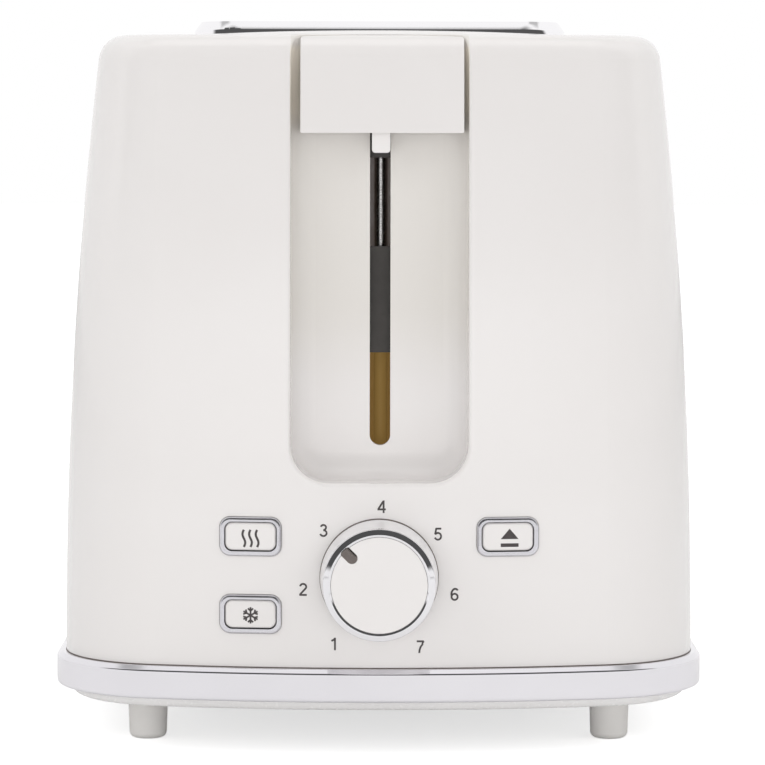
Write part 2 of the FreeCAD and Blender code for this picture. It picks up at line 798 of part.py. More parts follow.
def make_rod_and_spring():
    bracket_low = s.plate_top - 1
    node(rod("guide_rod_bar", s.rod_radius, "Z", (s.rod_x, -s.rod_y), s.band_bottom, bracket_low), "guide_rod")
    plate_face = -s.plate_y - s.plate_thick / 2
    shelf = box("bracket_shelf", (-8, 22), (-s.rod_y - 4, plate_face), (bracket_low, bracket_low + 2))
    flange = box("bracket_flange", (-8, 22), (plate_face - 1, plate_face), (bracket_low - 14, bracket_low + 2))
    node(fuse("bracket_fused", [shelf, flange]), "rod_bracket")

    low = s.carriage_bottom + s.spring_tab_rise + s.tab_thick + s.spring_end_gap + s.spring_wire
    high = bracket_low - s.spring_end_gap - s.spring_wire
    helix = DOC.addObject("Part::Helix", "spring_path")
    bind(helix, "Radius", s.spring_radius)
    bind(helix, "Height", high - low)
    bind(helix, "Pitch", (high - low) / s.spring_turns)
    place(helix, s.spring_x, -s.rod_y, low)
    wire = DOC.addObject("Part::Circle", "spring_section")
    bind(wire, "Radius", s.spring_wire)
    wire.Placement = FreeCAD.Placement(Vec(0, 0, 0), FreeCAD.Rotation(Vec(1, 0, 0), 90))
    place(wire, s.spring_x + s.spring_radius, -s.rod_y, low)
    coil = DOC.addObject("Part::Sweep", "spring_coil")
    coil.Sections = [wire]
    coil.Spine = (helix, [])
    coil.Solid = True
    coil.Frenet = True
    node(coil, "return_spring")


def make_magnet():
    top = s.carriage_bottom - s.armature_thick - s.travel - s.magnet_gap
    x = (-s.magnet_x - s.armature_half_width, -s.magnet_x + s.armature_half_width)
    y = (-s.rod_y - 5, -s.rod_y + 5)
    node(box("magnet_bar", x, y, (s.band_bottom, top)), "magnet_core")
    wound = rounded_block("coil_wound", "XY_Plane", x[0] - 3, x[1] + 3, y[0] - 1.8, y[1] + 3, 1.5,
                          s.band_bottom + 3, top - 4)
    through = box("coil_hole", x, y, (s.band_bottom, top))
    node(cut("coil_hollow", wound, [through]), "magnet_coil")


# ---- dial ---------------------------------------------------------------------------------------------


def make_dial():
    back = s.half_length + s.dial_gap
    front = s.half_length + s.dial_reach
    shoulder = front - s.dial_bevel
    recess = s.dial_face_radius + 0.16
    body = DOC.addObject("PartDesign::Body", "dial_skirt_body")
    sketch = new_sketch(body, "dial_section", "YZ_Plane", 0)
    points = [
        (-back, s.dial_height + s.shaft_radius + 0.02),
        (-back, s.dial_height + s.dial_back_radius),
        (-shoulder, s.dial_height + s.dial_front_radius),
        (-front + 0.1, s.dial_height + recess + 0.3),
        (-front + 0.1, s.dial_height + recess),
        (-shoulder, s.dial_height + recess),
        (-shoulder, s.dial_height + s.shaft_radius + 0.02),
    ]
    corners = []
    for index, (u, v) in enumerate(points):
        after = points[(index + 1) % len(points)]
        line = Part.LineSegment(Vec(u.number, v.number, 0), Vec(after[0].number, after[1].number, 0))
        corners.append(sketch.addGeometry(line))
    for index, edge in enumerate(corners):
        sketch.addConstraint(Sketcher.Constraint("Coincident", edge, 2, corners[(index + 1) % len(corners)], 1))
        fix_coordinate(sketch, edge, 1, "X", points[index][0])
        fix_coordinate(sketch, edge, 1, "Y", points[index][1])
    axis = sketch.addGeometry(Part.LineSegment(Vec(-front.number, s.dial_height.number, 0),
                                               Vec(-back.number, s.dial_height.number, 0)))
    sketch.toggleConstruction(axis)
    for point, u in ((1, -front), (2, -back)):
        fix_coordinate(sketch, axis, point, "X", u)
        fix_coordinate(sketch, axis, point, "Y", s.dial_height)
    turned = body.newObject("PartDesign::Revolution", "dial_turned")
    turned.Profile = sketch
    turned.ReferenceAxis = (sketch, ["Axis0"])
    turned.Angle = 360
    body.Tip = turned
    node(body, "dial_skirt")

    node(rod("dial_shaft_bar", s.shaft_radius, "Y", (0, s.dial_height), -shoulder, -s.control_board_y - 2.5),
         "dial_shaft")
    disc = rod("dial_disc", s.dial_face_radius, "Y", (0, s.dial_height), -front, -shoulder)
    node(cut("dial_disc_cut", disc, [pointer_bar("pointer_room", 0.05, 1)]), "dial_face")
    rim = rod("pointer_limit", s.dial_face_radius, "Y", (0, s.dial_height), -front - 0.25, -shoulder)
    node(common("pointer_trimmed", pointer_bar("pointer_blank", as_size(0), 0.25), rim), "dial_pointer")


def pointer_bar(name, grown, proud):
    """A bar with a round inner end that points up and to the left, at 135 degrees from +X."""
    front = s.half_length + s.dial_reach
    half = s.pointer_width / 2 + grown
    start = s.pointer_inner + s.pointer_width / 2
    span_y = (-front - proud, -front + s.dial_bevel)
    arm = DOC.addObject("Part::Box", f"{name}_arm")
    bind(arm, "Length", s.dial_face_radius + 2 - start)
    bind(arm, "Width", as_size(span_y[1]) - span_y[0])
    bind(arm, "Height", half * 2)
    slant = math.sqrt(0.5)
    arm.Placement = FreeCAD.Placement(Vec(0, 0, 0), FreeCAD.Rotation(Vec(0, 1, 0), -135))
    place(arm, (half - start) * slant, span_y[0], s.dial_height + (start + half) * slant)
    end = rod(f"{name}_end", half, "Y", (-start * slant, s.dial_height + start * slant), *span_y)
    return fuse(name, [arm, end])


# ---- buttons ------------------------------------------------------------------------------------------


def button_places():
    return [("reheat", -s.button_x, s.upper_button_height), ("defrost", -s.button_x, s.lower_button_height),
            ("stop", s.button_x, s.upper_button_height)]


def button_outline(x, z, width, height, gap):
    return x - width / 2 - gap, x + width / 2 + gap, z - height / 2 - gap, z + height / 2 + gap


def make_buttons():
    bezel_front = tapered_form("bezel_form", s.bezel_proud, s.body_top, s.top_edge_radius)
    cap_front = tapered_form("cap_form", s.cap_proud, s.body_top, s.top_edge_radius)
    inner = s.half_length - 7
    outer = s.half_length + 6
    switches = []
    for name, x, z in button_places():
        tube = rounded_block(f"{name}_tube", "XZ_Plane", *button_outline(x, z, s.bezel_width, s.bezel_height, 0),
                             s.bezel_corner, inner, outer)
        bore = rounded_block(f"{name}_bore", "XZ_Plane",
                             *button_outline(x, z, s.cap_width, s.cap_height, s.cap_gap),
                             s.cap_corner + s.cap_gap, inner - 5, outer + 5)
        front = -s.half_length.number + 5
        rim = common(f"{name}_tube_cut", tube, bezel_front)
        DOC.recompute()
        rim = fillet_rim(f"{name}_rim_round", rim, lambda point: point.y < front, s.bezel_edge)
        node(cut(f"{name}_ring", rim, [bore]), f"bezel_{name}")
        cap = rounded_block(f"{name}_cap", "XZ_Plane", *button_outline(x, z, s.cap_width, s.cap_height, 0),
                            s.cap_corner, inner - 1, outer)
        flange = box(f"{name}_flange", (x - s.bezel_width / 2 + 0.4, x + s.bezel_width / 2 - 0.4),
                     (-inner + 0.3, -inner + 1.6),
                     (z - s.bezel_height / 2 + 0.4, z + s.bezel_height / 2 - 0.4))
        face = common(f"{name}_cap_cut", cap, cap_front)
        DOC.recompute()
        face = fillet_rim(f"{name}_cap_round", face, lambda point: point.y < front, s.cap_edge)
        node(fuse(f"{name}_cap_fused", [face, flange]), f"button_{name}")
        switch_y = -s.control_board_y
        case = box(f"{name}_switch_case", (x - 3, x + 3), (switch_y - 4, switch_y), (z - 3, z + 3))
        plunger = rod(f"{name}_switch_pin", 1.6, "Y", (x, z), switch_y - 5, switch_y - 4)
        switches.append(fuse(f"{name}_switch", [case, plunger]))
    node(group("switch_group", switches), "button_switches")


def make_control_board():
    y = -s.control_board_y
    board = box("control_sheet", (-50, 50), (y, y + s.board_thick), (27, 73))
    node(board, "control_board")
    case_front = y - s.timer_depth
    case = rod("timer_case", s.timer_radius, "Y", (0, s.dial_height), case_front, y)
    neck = rod("timer_neck", s.timer_neck_radius, "Y", (0, s.dial_height),
               -s.half_length + s.wall + s.timer_gap, case_front)
    bore = rod("timer_bore", s.shaft_radius + s.shaft_clearance, "Y", (0, s.dial_height), -s.half_length - 5, y - 2)
    node(cut("timer_cut", fuse("timer_fused", [case, neck]), [bore]), "timer_potentiometer")


def make_power_board():
    y = -s.power_board_y
    rear_face = -s.plate_y - s.plate_thick / 2
    node(box("power_sheet", (-19, 19), (y, y + s.board_thick), (36, s.carriage_bottom + 1)), "power_board")
    posts = []
    for number, (x, z) in enumerate([(-15, 42), (15, 42), (-15, 106), (15, 106)]):
        posts.append(rod(f"post_{number}", 2.5, "Y", (x, z), y + s.board_thick, rear_face))
    node(group("post_group", posts), "board_standoffs")


# ---- heating chamber ----------------------------------------------------------------------------------


def make_chassis():
    half = s.plate_thick / 2
    for end, sign in (("front", -1), ("rear", 1)):
        middle = s.plate_y * sign
        sheet = box(f"{end}_sheet", (-s.plate_half_width, s.plate_half_width), (middle - half, middle + half),
                    (s.band_bottom, s.plate_top))
        inward = (middle, middle - 12 * sign) if sign < 0 else (middle - 12, middle)
        foot = box(f"{end}_foot", (-s.plate_half_width, s.plate_half_width), inward,
                   (s.band_bottom, s.band_bottom + s.plate_thick))
        tools = [rod(f"{end}_hole_{n}", 1.6, "Z", spot, s.band_bottom - 1, s.band_bottom + 3)
                 for n, spot in enumerate(screw_places())]
        if sign < 0:
            for side in (-1, 1):
                centre = (s.slot_inner_x + s.slot_width / 2) * side
                tools.append(box(f"arm_slot_{side + 1}", (centre - 2.5, centre + 2.5), (middle - 2, middle + 2),
                                 (s.carriage_bottom + 20 - 8 - s.travel - 4, s.carriage_bottom + 26)))
        else:
            tools.append(box("tray_window", (-s.tray_half_width - 2, s.tray_half_width + 2),
                             (middle - 2, middle + 2), (s.tray_bottom - 1, s.tray_bottom + s.tray_height + 1.5)))
        node(cut(f"{end}_plate_cut", fuse(f"{end}_plate", [sheet, foot]), tools), f"chassis_{end}_plate")
    span = (-s.plate_y + half, s.plate_y - half)
    for side, sign in (("left", -1), ("right", 1)):
        faces = (s.reflector_x * sign, (s.reflector_x + s.reflector_thick) * sign)
        low, high = faces if sign > 0 else faces[::-1]
        node(box(f"reflector_sheet_{side}", (low, high), span, (40, s.plate_top - 2)), f"reflector_{side}")


def make_heaters():
    half = s.plate_thick / 2
    span = (-s.plate_y + half, s.plate_y - half)
    reach = s.plate_y - s.card_end_gap
    for side, x in (("left", -s.outer_card_x), ("centre", as_size(0)), ("right", s.outer_card_x)):
        thick = (x - s.card_thick / 2, x + s.card_thick / 2)
        sheet = box(f"mica_{side}", thick, (-reach, reach), (s.card_low, s.card_high))
        lower = box(f"mica_lower_{side}", thick, span, (s.card_low, s.card_low + s.card_rail))
        upper = box(f"mica_upper_{side}", thick, span, (s.card_high - s.card_rail, s.card_high))
        node(fuse(f"card_{side}", [sheet, lower, upper]), f"heater_card_{side}")
        turns = []
        for number in range(12):
            z = s.ribbon_low + s.ribbon_pitch * number
            ring = box(f"ribbon_{side}_{number}", (thick[0] - s.ribbon_thick, thick[1] + s.ribbon_thick),
                       (-reach - s.ribbon_thick, reach + s.ribbon_thick), (z, z + s.ribbon_width))
            room = box(f"ribbon_room_{side}_{number}", thick, (-reach, reach), (z - 1, z + s.ribbon_width + 1))
            turns.append(cut(f"ribbon_turn_{side}_{number}", ring, [room]))
        node(group(f"ribbon_group_{side}", turns), f"heater_ribbon_{side}")


def make_guards():
    half = s.plate_thick / 2
    span = (-s.plate_y + half, s.plate_y - half)
    places = {"left_outer": -s.guard_outer_x, "left_inner": -s.guard_inner_x, "right_inner": s.guard_inner_x,
              "right_outer": s.guard_outer_x}
    heights = (s.guard_low + 2, (s.guard_low + s.guard_high + 1) / 2, s.guard_high - 2)
    for name, x in places.items():
        wires = [rod(f"guard_rail_{name}_{n}", s.guard_rail, "Y", (x, z), *span)
                 for n, z in enumerate(heights)]
        for number in range(9):
            wires.append(rod(f"guard_wire_{name}_{number}", s.guard_wire, "Z", (x, s.guard_pitch * (number - 4)),
                             s.guard_low, s.guard_high))
        node(fuse(f"guard_{name}_fused", wires), f"bread_guard_{name}")


# ---- tray, gland and terminals ------------------------------------------------------------------------


def make_tray(outer):
    low, high = s.tray_bottom, s.tray_bottom + s.tray_height
    front, rear = -84, s.half_length - 9
    shell = box("tray_outside", (-s.tray_half_width, s.tray_half_width), (front, rear), (low, high))
    room = box("tray_inside", (-s.tray_half_width + 1, s.tray_half_width - 1), (front + 1, rear - 1),
               (low + 1, high + 1))
    node(cut("tray_cut", shell, [room]), "crumb_tray")
    skin = rounded_block("door_block", "XZ_Plane", -s.door_half_width, s.door_half_width, s.door_bottom,
                         s.door_bottom + s.door_height, 1.5, -s.half_length - 5, -rear)
    lip = box("door_lip", (-16, 16), (s.half_length - 3, s.half_length + s.gland_reach - 0.2),
              (s.door_bottom + 6.2, s.door_bottom + 8.2))
    node(fuse("door_fused", [common("door_form", outer, skin), lip]), "tray_handle")
    for side, sign in (("left", -1), ("right", 1)):
        inner, middle, edge = s.tray_half_width - 6, s.tray_half_width + 0.6, s.tray_half_width + 1.6
        rail_x = (inner * sign, edge * sign) if sign > 0 else (edge * sign, inner * sign)
        guide_x = (middle * sign, edge * sign) if sign > 0 else (edge * sign, middle * sign)
        rail = box(f"rail_{side}", rail_x, (-79, 79), (s.band_bottom, low - s.tray_clearance))
        guide = box(f"rail_guide_{side}", guide_x, (-79, 79), (low - s.tray_clearance, high))
        node(fuse(f"runner_{side}", [rail, guide]), f"tray_runner_{side}")


def make_gland():
    axis = (0, s.gland_height)
    outside = s.half_length
    barrel = rod("gland_barrel", s.gland_body, "Y", axis, outside - s.wall - 4, outside + 0.2)
    flange = rod("gland_flange_disc", s.gland_flange, "Y", axis, outside + 0.2, outside + s.gland_reach)
    nut = rod("gland_nut", s.gland_flange, "Y", axis, outside - s.wall - 4, outside - s.wall - 0.8)
    bore = rod("gland_bore_cut", s.gland_bore, "Y", axis, outside - 20, outside + 20)
    node(cut("gland_cut", fuse("gland_fused", [barrel, flange, nut]), [bore]), "cord_gland")


def make_terminal_block():
    face = s.plate_y + s.plate_thick / 2
    block = rounded_block("terminal_case", "XY_Plane", -15, 15, face, face + 13, 1.5, 70, 82)
    pockets = [rod(f"terminal_well_{n}", 2.2, "Z", (-9 + 9 * n, face + 6.5), 76, 90) for n in range(3)]
    node(cut("terminal_cut", block, pockets), "terminal_block")


# ---- build and write ----------------------------------------------------------------------------------


def check_and_write():
    DOC.recompute()
    faults = [thing.Name for thing in DOC.Objects if {"Invalid", "Error"} & set(thing.State)]
    if faults:
        raise RuntimeError(f"these objects failed: {faults}")
    os.makedirs("parts", exist_ok=True)
    for thing in NODES:
        shape = thing.Shape
        if shape.isNull() or not shape.isValid() or not shape.Solids:
            raise RuntimeError(f"{thing.Label} has no valid solid")
        shape.exportStep(f"parts/{thing.Label}.step")
        print(f"{thing.Label}: {len(shape.Solids)} solid, {shape.Volume / 1000:.2f} cm3")


def main():
    outer = tapered_form("shell_outside", as_size(0), s.body_top, s.top_edge_radius)
    make_shell(outer)
    make_top_trim()
    make_base_ring()
    make_base_pan()
    make_feet()
    make_screws()
    make_lever(outer)
    make_carriage()
    make_rod_and_spring()
    make_magnet()
    make_dial()
    make_buttons()
    make_control_board()
    make_power_board()
    make_chassis()
    make_heaters()
    make_guards()
    make_tray(outer)
    make_gland()
    make_terminal_block()
    check_and_write()


main()
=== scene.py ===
import json
import math

import bpy
import numpy as np
from mathutils import Matrix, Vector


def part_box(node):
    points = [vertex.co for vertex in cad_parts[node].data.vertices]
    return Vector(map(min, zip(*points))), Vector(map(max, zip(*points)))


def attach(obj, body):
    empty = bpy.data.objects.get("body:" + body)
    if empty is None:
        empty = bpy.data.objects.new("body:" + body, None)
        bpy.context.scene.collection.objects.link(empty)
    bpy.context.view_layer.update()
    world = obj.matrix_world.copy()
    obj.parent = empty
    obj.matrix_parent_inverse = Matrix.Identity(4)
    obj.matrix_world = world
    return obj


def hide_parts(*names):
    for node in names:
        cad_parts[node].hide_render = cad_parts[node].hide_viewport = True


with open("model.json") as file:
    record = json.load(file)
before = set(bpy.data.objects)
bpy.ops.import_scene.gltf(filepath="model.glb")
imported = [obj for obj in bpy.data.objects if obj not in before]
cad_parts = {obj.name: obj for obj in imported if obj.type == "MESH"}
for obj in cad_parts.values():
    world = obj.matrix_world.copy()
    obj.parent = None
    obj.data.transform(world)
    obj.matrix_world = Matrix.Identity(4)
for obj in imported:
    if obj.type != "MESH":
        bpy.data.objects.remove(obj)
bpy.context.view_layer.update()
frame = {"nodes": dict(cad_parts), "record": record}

nodes = frame["nodes"]
print("stage: frame loaded")

# ---- shell surface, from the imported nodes

shellForm = {
    "bulgeRadius": 0.300,      # plan radius of the shell's ends
    "cornerRadius": 0.033,     # plan radius of its four corners
    "flankInset": 0.01085,     # how far the flanks lean in from bottom to top
}
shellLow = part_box("shell_front")[0]
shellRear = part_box("shell_rear")[1]
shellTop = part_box("shell_top")[1].z
shellMiddleY = (shellLow.y + shellRear.y) / 2
shellHalfLength = (shellRear.y - shellLow.y) / 2
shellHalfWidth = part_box("shell_right")[1].x


def frontY(x, z, proud=0.0):
    # the end's skin is an arc in plan whose radius shrinks as the square of the height
    share = (z - shellLow.z) / (shellTop - shellLow.z)
    radius = shellForm["bulgeRadius"] - shellForm["flankInset"] * share * share + proud
    centre = shellMiddleY - shellHalfLength + shellForm["bulgeRadius"]
    return centre - np.sqrt(radius * radius - x * x)


# ---- material helpers


def startMaterial(name, color, roughness, metallic=0.0):
    material = bpy.data.materials.new(name)
    material.use_nodes = True
    tree = material.node_tree
    shader = tree.nodes["Principled BSDF"]
    shader.inputs["Base Color"].default_value = (*color, 1)
    shader.inputs["Roughness"].default_value = roughness
    shader.inputs["Metallic"].default_value = metallic
    return material, tree, shader


def addNode(tree, kind, **values):
    node = tree.nodes.new(kind)
    for key, value in values.items():
        setattr(node, key, value)
    return node


def objectPoint(tree, stretch=(1, 1, 1)):
    coordinate = addNode(tree, "ShaderNodeTexCoord")
    mapping = addNode(tree, "ShaderNodeMapping")
    mapping.inputs["Scale"].default_value = stretch
    tree.links.new(coordinate.outputs["Object"], mapping.inputs["Vector"])
    return mapping.outputs["Vector"]


def objectAxes(tree):
    parts = addNode(tree, "ShaderNodeSeparateXYZ")
    tree.links.new(objectPoint(tree), parts.inputs[0])
    return parts.outputs


def noise(tree, point, scale, detail=3.0):
    texture = addNode(tree, "ShaderNodeTexNoise")
    texture.inputs["Scale"].default_value = scale
    texture.inputs["Detail"].default_value = detail
    tree.links.new(point, texture.inputs["Vector"])
    return texture.outputs["Fac"]


def ramp(tree, factor, low, high, start=0.3, end=0.7):
    colors = addNode(tree, "ShaderNodeValToRGB")
    colors.color_ramp.elements[0].position = start
    colors.color_ramp.elements[1].position = end
    colors.color_ramp.elements[0].color = (*low, 1)
    colors.color_ramp.elements[1].color = (*high, 1)
    tree.links.new(factor, colors.inputs["Fac"])
    return colors.outputs["Color"]


def spread(tree, factor, low, high, start=0.0, end=1.0):
    scaled = addNode(tree, "ShaderNodeMapRange", interpolation_type="SMOOTHSTEP")
    scaled.inputs["From Min"].default_value = start
    scaled.inputs["From Max"].default_value = end
    scaled.inputs["To Min"].default_value = low
    scaled.inputs["To Max"].default_value = high
    tree.links.new(factor, scaled.inputs["Value"])
    return scaled.outputs["Result"]


def combine(tree, operation, first, second):
    node = addNode(tree, "ShaderNodeMath", operation=operation)
    for socket, value in zip(node.inputs, (first, second)):
        if isinstance(value, (int, float)):
            socket.default_value = value
        else:
            tree.links.new(value, socket)
    return node.outputs[0]


def bump(tree, shader, height, strength, distance):
    node = addNode(tree, "ShaderNodeBump")
    node.inputs["Strength"].default_value = strength
    node.inputs["Distance"].default_value = distance
    tree.links.new(height, node.inputs["Height"])
    tree.links.new(node.outputs["Normal"], shader.inputs["Normal"])


grainDepth = 0.0002      # metres that a bump strength of one stands for


def finish(name, low, high, rough, metallic, patch, grain, bumpStrength, stretch=(1, 1, 1)):
    # colour drifts slowly between two tones, roughness and height follow a finer grain
    material, tree, shader = startMaterial(name, high, rough[1], metallic)
    point = objectPoint(tree, stretch)
    color = ramp(tree, noise(tree, point, patch), low, high)
    tree.links.new(color, shader.inputs["Base Color"])
    fine = noise(tree, point, grain)
    tree.links.new(spread(tree, fine, *rough), shader.inputs["Roughness"])
    bump(tree, shader, fine, bumpStrength, grainDepth)
    return material, tree, shader


def insideRange(tree, value, low, high, soft):
    # one between low and high, falling to nothing over soft on each side
    return combine(tree, "MULTIPLY", spread(tree, value, 0, 1, low - soft, low),
                   spread(tree, value, 1, 0, high, high + soft))


def mixOver(tree, shader, factor, tone):
    # lays a second tone over the base colour where factor says
    base = shader.inputs["Base Color"]
    plain = base.links[0].from_socket
    mixed = addNode(tree, "ShaderNodeMix", data_type="RGBA")
    tree.links.new(factor, mixed.inputs["Factor"])
    tree.links.new(plain, mixed.inputs["A"])
    mixed.inputs["B"].default_value = (*tone, 1)
    tree.links.new(mixed.outputs["Result"], base)


# ---- materials

# one row per finish: name, darker tone, lighter tone, roughness span, metal, patch size,
# grain size, bump and stretch
finishTable = {
    "white_shell": ("glossWhiteShell", (0.790, 0.762, 0.748), (0.806, 0.780, 0.768),
                    (0.22, 0.27), 0.0, 14, 900, 0.012),
    "white_plastic": ("glossWhitePlastic", (0.790, 0.762, 0.748), (0.806, 0.780, 0.768),
                      (0.22, 0.27), 0.0, 14, 900, 0.012),
    # a lighter copy of the white for the pan: painted light on its shaded face
    "pan_painted_lighter": ("glossWhitePan", (0.84, 0.825, 0.815), (0.87, 0.855, 0.845),
                  (0.22, 0.3), 0.0, 20, 900, 0.01),
    "chrome": ("polishedChrome", (0.75, 0.735, 0.765), (0.80, 0.785, 0.815),
               (0.03, 0.08), 1.0, 20, 1200, 0.015),
    "trim_chrome": ("brightTrimChrome", (0.90, 0.89, 0.905), (0.94, 0.93, 0.945),
                    (0.03, 0.07), 1.0, 20, 1200, 0.01),
    "dial_chrome": ("brightChrome", (0.80, 0.79, 0.81), (0.85, 0.84, 0.86),
                    (0.03, 0.06), 1.0, 30, 1200, 0.01),
    "chrome_satin": ("softChrome", (0.66, 0.65, 0.685), (0.72, 0.71, 0.745),
                     (0.22, 0.25), 1.0, 30, 1500, 0.004),
    # the pointer's chrome is painted dark, standing in for the dark reflection on its top
    "pointer_metal": ("smokedChrome", (0.15, 0.13, 0.12), (0.20, 0.175, 0.165),
                      (0.12, 0.22), 1.0, 300, 2500, 0.05),
    "rod_steel": ("groundRod", (0.62, 0.61, 0.60), (0.80, 0.79, 0.78),
                  (0.14, 0.26), 1.0, 400, 2600, 0.35),
    "zinc_steel": ("zincSteel", (0.50, 0.50, 0.51), (0.64, 0.64, 0.65),
                   (0.26, 0.42), 1.0, 30, 700, 0.12, (1, 0.06, 1)),
    "dark_steel": ("blackenedSteel", (0.060, 0.055, 0.052), (0.095, 0.088, 0.082),
                   (0.35, 0.55), 0.4, 40, 900, 0.15),
    "dark_plastic": ("darkPlastic", (0.03, 0.03, 0.03), (0.05, 0.048, 0.046),
                     (0.4, 0.55), 0.0, 50, 1500, 0.15),
    # dark line for the band's seam and the dial's foot: painted shadow in those gaps
    "seat_line": ("seatShade", (0.15, 0.125, 0.115), (0.19, 0.165, 0.15),
                  (0.6, 0.7), 0.0, 300, 2500, 0.1),
    "foot_rubber": ("paleFootRubber", (0.80, 0.78, 0.755), (0.86, 0.84, 0.815),
                    (0.45, 0.6), 0.0, 60, 1500, 0.15),
    "copper_coil": ("coilTape", (0.30, 0.12, 0.04), (0.42, 0.18, 0.06),
                    (0.35, 0.5), 0.0, 60, 900, 0.3, (1, 1, 8)),
    "brown_board": ("phenolicBoard", (0.40, 0.24, 0.07), (0.52, 0.33, 0.10),
                    (0.35, 0.5), 0.0, 70, 1600, 0.2),
    "mica": ("micaSheet", (0.55, 0.50, 0.42), (0.68, 0.63, 0.55),
             (0.25, 0.5), 0.0, 90, 700, 0.2),
    "ribbon_wire": ("heaterRibbon", (0.12, 0.10, 0.09), (0.24, 0.20, 0.17),
                    (0.35, 0.5), 0.8, 200, 1500, 0.15),
    "ceramic_block": ("paleCeramic", (0.68, 0.66, 0.62), (0.76, 0.74, 0.70),
                      (0.5, 0.65), 0.0, 60, 1500, 0.25),
    "print_ink": ("greyPrintInk", (0.050, 0.042, 0.042), (0.072, 0.060, 0.060),
                  (0.4, 0.5), 0.0, 400, 2500, 0.1),
}

glossCoat = {"weight": 0.5, "rough": 0.06}

# painted shade: the channel's white darkens towards its top, standing in for the shade in the
# recess under the lever
paintedChannelShade = {
    "wide": 0.02472,                # half the channel's width
    "depth": (-0.1378, -0.1220),    # from the shell's face to the channel's back
    "rise": (0.098, 0.128),         # heights over which the painted shade sets in
    "sideSoft": 0.0002,
    "depthSoft": 0.002,
    "tone": (0.735, 0.705, 0.668),
}

# painted light: the side walls beside the lever are tinted cream and glow faintly, standing in for
# light coming through the thin walls
paintedLeverGapLight = {
    "side": (0.0216, 0.02485),      # how far out the channel's side walls lie
    "sideSoft": 0.0002,
    "depthSoft": 0.0006,
    "rise": (0.173, 0.182),         # heights over which the painted light sets in
    "end": (0.1965, 0.1995),        # and over which it ends
    "tone": (0.84, 0.785, 0.69),
    "paintedGlow": 0.010,
}

dialCone = {
    "depth": (-0.1555, -0.1550),    # where the rim ends and the cone starts
    "rough": 0.34,
    "metal": 0.5,
    "tone": (0.95, 0.94, 0.95),
}

rodForm = {
    "lacquerTop": 0.1125,
    "soft": 0.0004,
    "lacquer": (0.30, 0.19, 0.06),
    "shine": 0.1,
    "paintedGlowTone": (1.0, 0.6, 0.17),
    "paintedGlow": 0.10,
}

# parts deep inside get a painted glow, standing in for the little light that reaches them: name,
# finish, glow's tone and strength
paintedGlowTable = {
    "board_painted_glow": ("phenolicBoardInside", "brown_board", (1.0, 0.6, 0.17), 0.12),
    "plate_painted_glow": ("platedSteelInside", "zinc_steel", (1.0, 0.84, 0.76), 0.05),
}

# nodes that don't look like the rest of their slot; the board and the front plate carry a painted
# glow, the pan a painted lighter white
specialLook = {
    "guide_rod": "rod_steel",
    "power_board": "board_painted_glow",
    "chassis_front_plate": "plate_painted_glow",
    "base_pan": "pan_painted_lighter",
}


def addPaintedGlow(tree, shader, tone, strength):
    # a painted glow: the surface gives off light though it is no lamp; strength is a number or
    # another node's output
    shader.inputs["Emission Color"].default_value = (*tone, 1)
    if isinstance(strength, float):
        shader.inputs["Emission Strength"].default_value = strength
    else:
        tree.links.new(strength, shader.inputs["Emission Strength"])


def addCoat(shader):
    shader.inputs["Coat Weight"].default_value = glossCoat["weight"]
    shader.inputs["Coat Roughness"].default_value = glossCoat["rough"]


def paintChannelShadeAndLight(tree, shader):
    # painted shade darkens the lever's channel towards its top, and painted light tints the walls
    # beside the lever cream and makes them glow faintly
    axes = objectAxes(tree)
    wide = paintedChannelShade["wide"]
    across = insideRange(tree, axes["X"], -wide, wide, paintedChannelShade["sideSoft"])
    depth = insideRange(tree, axes["Y"], *paintedChannelShade["depth"], paintedChannelShade["depthSoft"])
    inside = combine(tree, "MULTIPLY", combine(tree, "MULTIPLY", across, depth),
                     spread(tree, axes["Z"], 0, 1, *paintedChannelShade["rise"]))
    mixOver(tree, shader, inside, paintedChannelShade["tone"])
    side = insideRange(tree, combine(tree, "ABSOLUTE", axes["X"], 0), *paintedLeverGapLight["side"],
                       paintedLeverGapLight["sideSoft"])
    depth = insideRange(tree, axes["Y"], *paintedChannelShade["depth"], paintedLeverGapLight["depthSoft"])
    height = combine(tree, "MULTIPLY", spread(tree, axes["Z"], 0, 1, *paintedLeverGapLight["rise"]),
                     spread(tree, axes["Z"], 1, 0, *paintedLeverGapLight["end"]))
    paintedLight = combine(tree, "MULTIPLY", combine(tree, "MULTIPLY", side, depth), height)
    mixOver(tree, shader, paintedLight, paintedLeverGapLight["tone"])
    addPaintedGlow(tree, shader, paintedLeverGapLight["tone"], combine(tree, "MULTIPLY", paintedLight, paintedLeverGapLight["paintedGlow"]))


def softenCone(tree, shader):
    # polished on the sloping rim, satin on the cone behind it
    rough = shader.inputs["Roughness"]
    fine = rough.links[0].from_socket
    cone = spread(tree, objectAxes(tree)["Y"], 0, 1, *dialCone["depth"])
    coneRough = combine(tree, "MULTIPLY", cone, dialCone["rough"])
    tree.links.new(combine(tree, "MAXIMUM", fine, coneRough), rough)
    tree.links.new(spread(tree, cone, 1, dialCone["metal"]), shader.inputs["Metallic"])
    mixOver(tree, shader, cone, dialCone["tone"])


def lacquerRod(tree, shader):
    # ground steel above, a brown lacquer on the lower end, which is given a painted glow as if lit
    # like the board behind it
    top = rodForm["lacquerTop"]
    lacquer = spread(tree, objectAxes(tree)["Z"], 1, 0, top - rodForm["soft"], top)
    mixOver(tree, shader, lacquer, rodForm["lacquer"])
    tree.links.new(combine(tree, "SUBTRACT", 1.0, lacquer), shader.inputs["Metallic"])
    shader.inputs["Specular IOR Level"].default_value = rodForm["shine"]
    addPaintedGlow(tree, shader, rodForm["paintedGlowTone"], combine(tree, "MULTIPLY", lacquer, rodForm["paintedGlow"]))


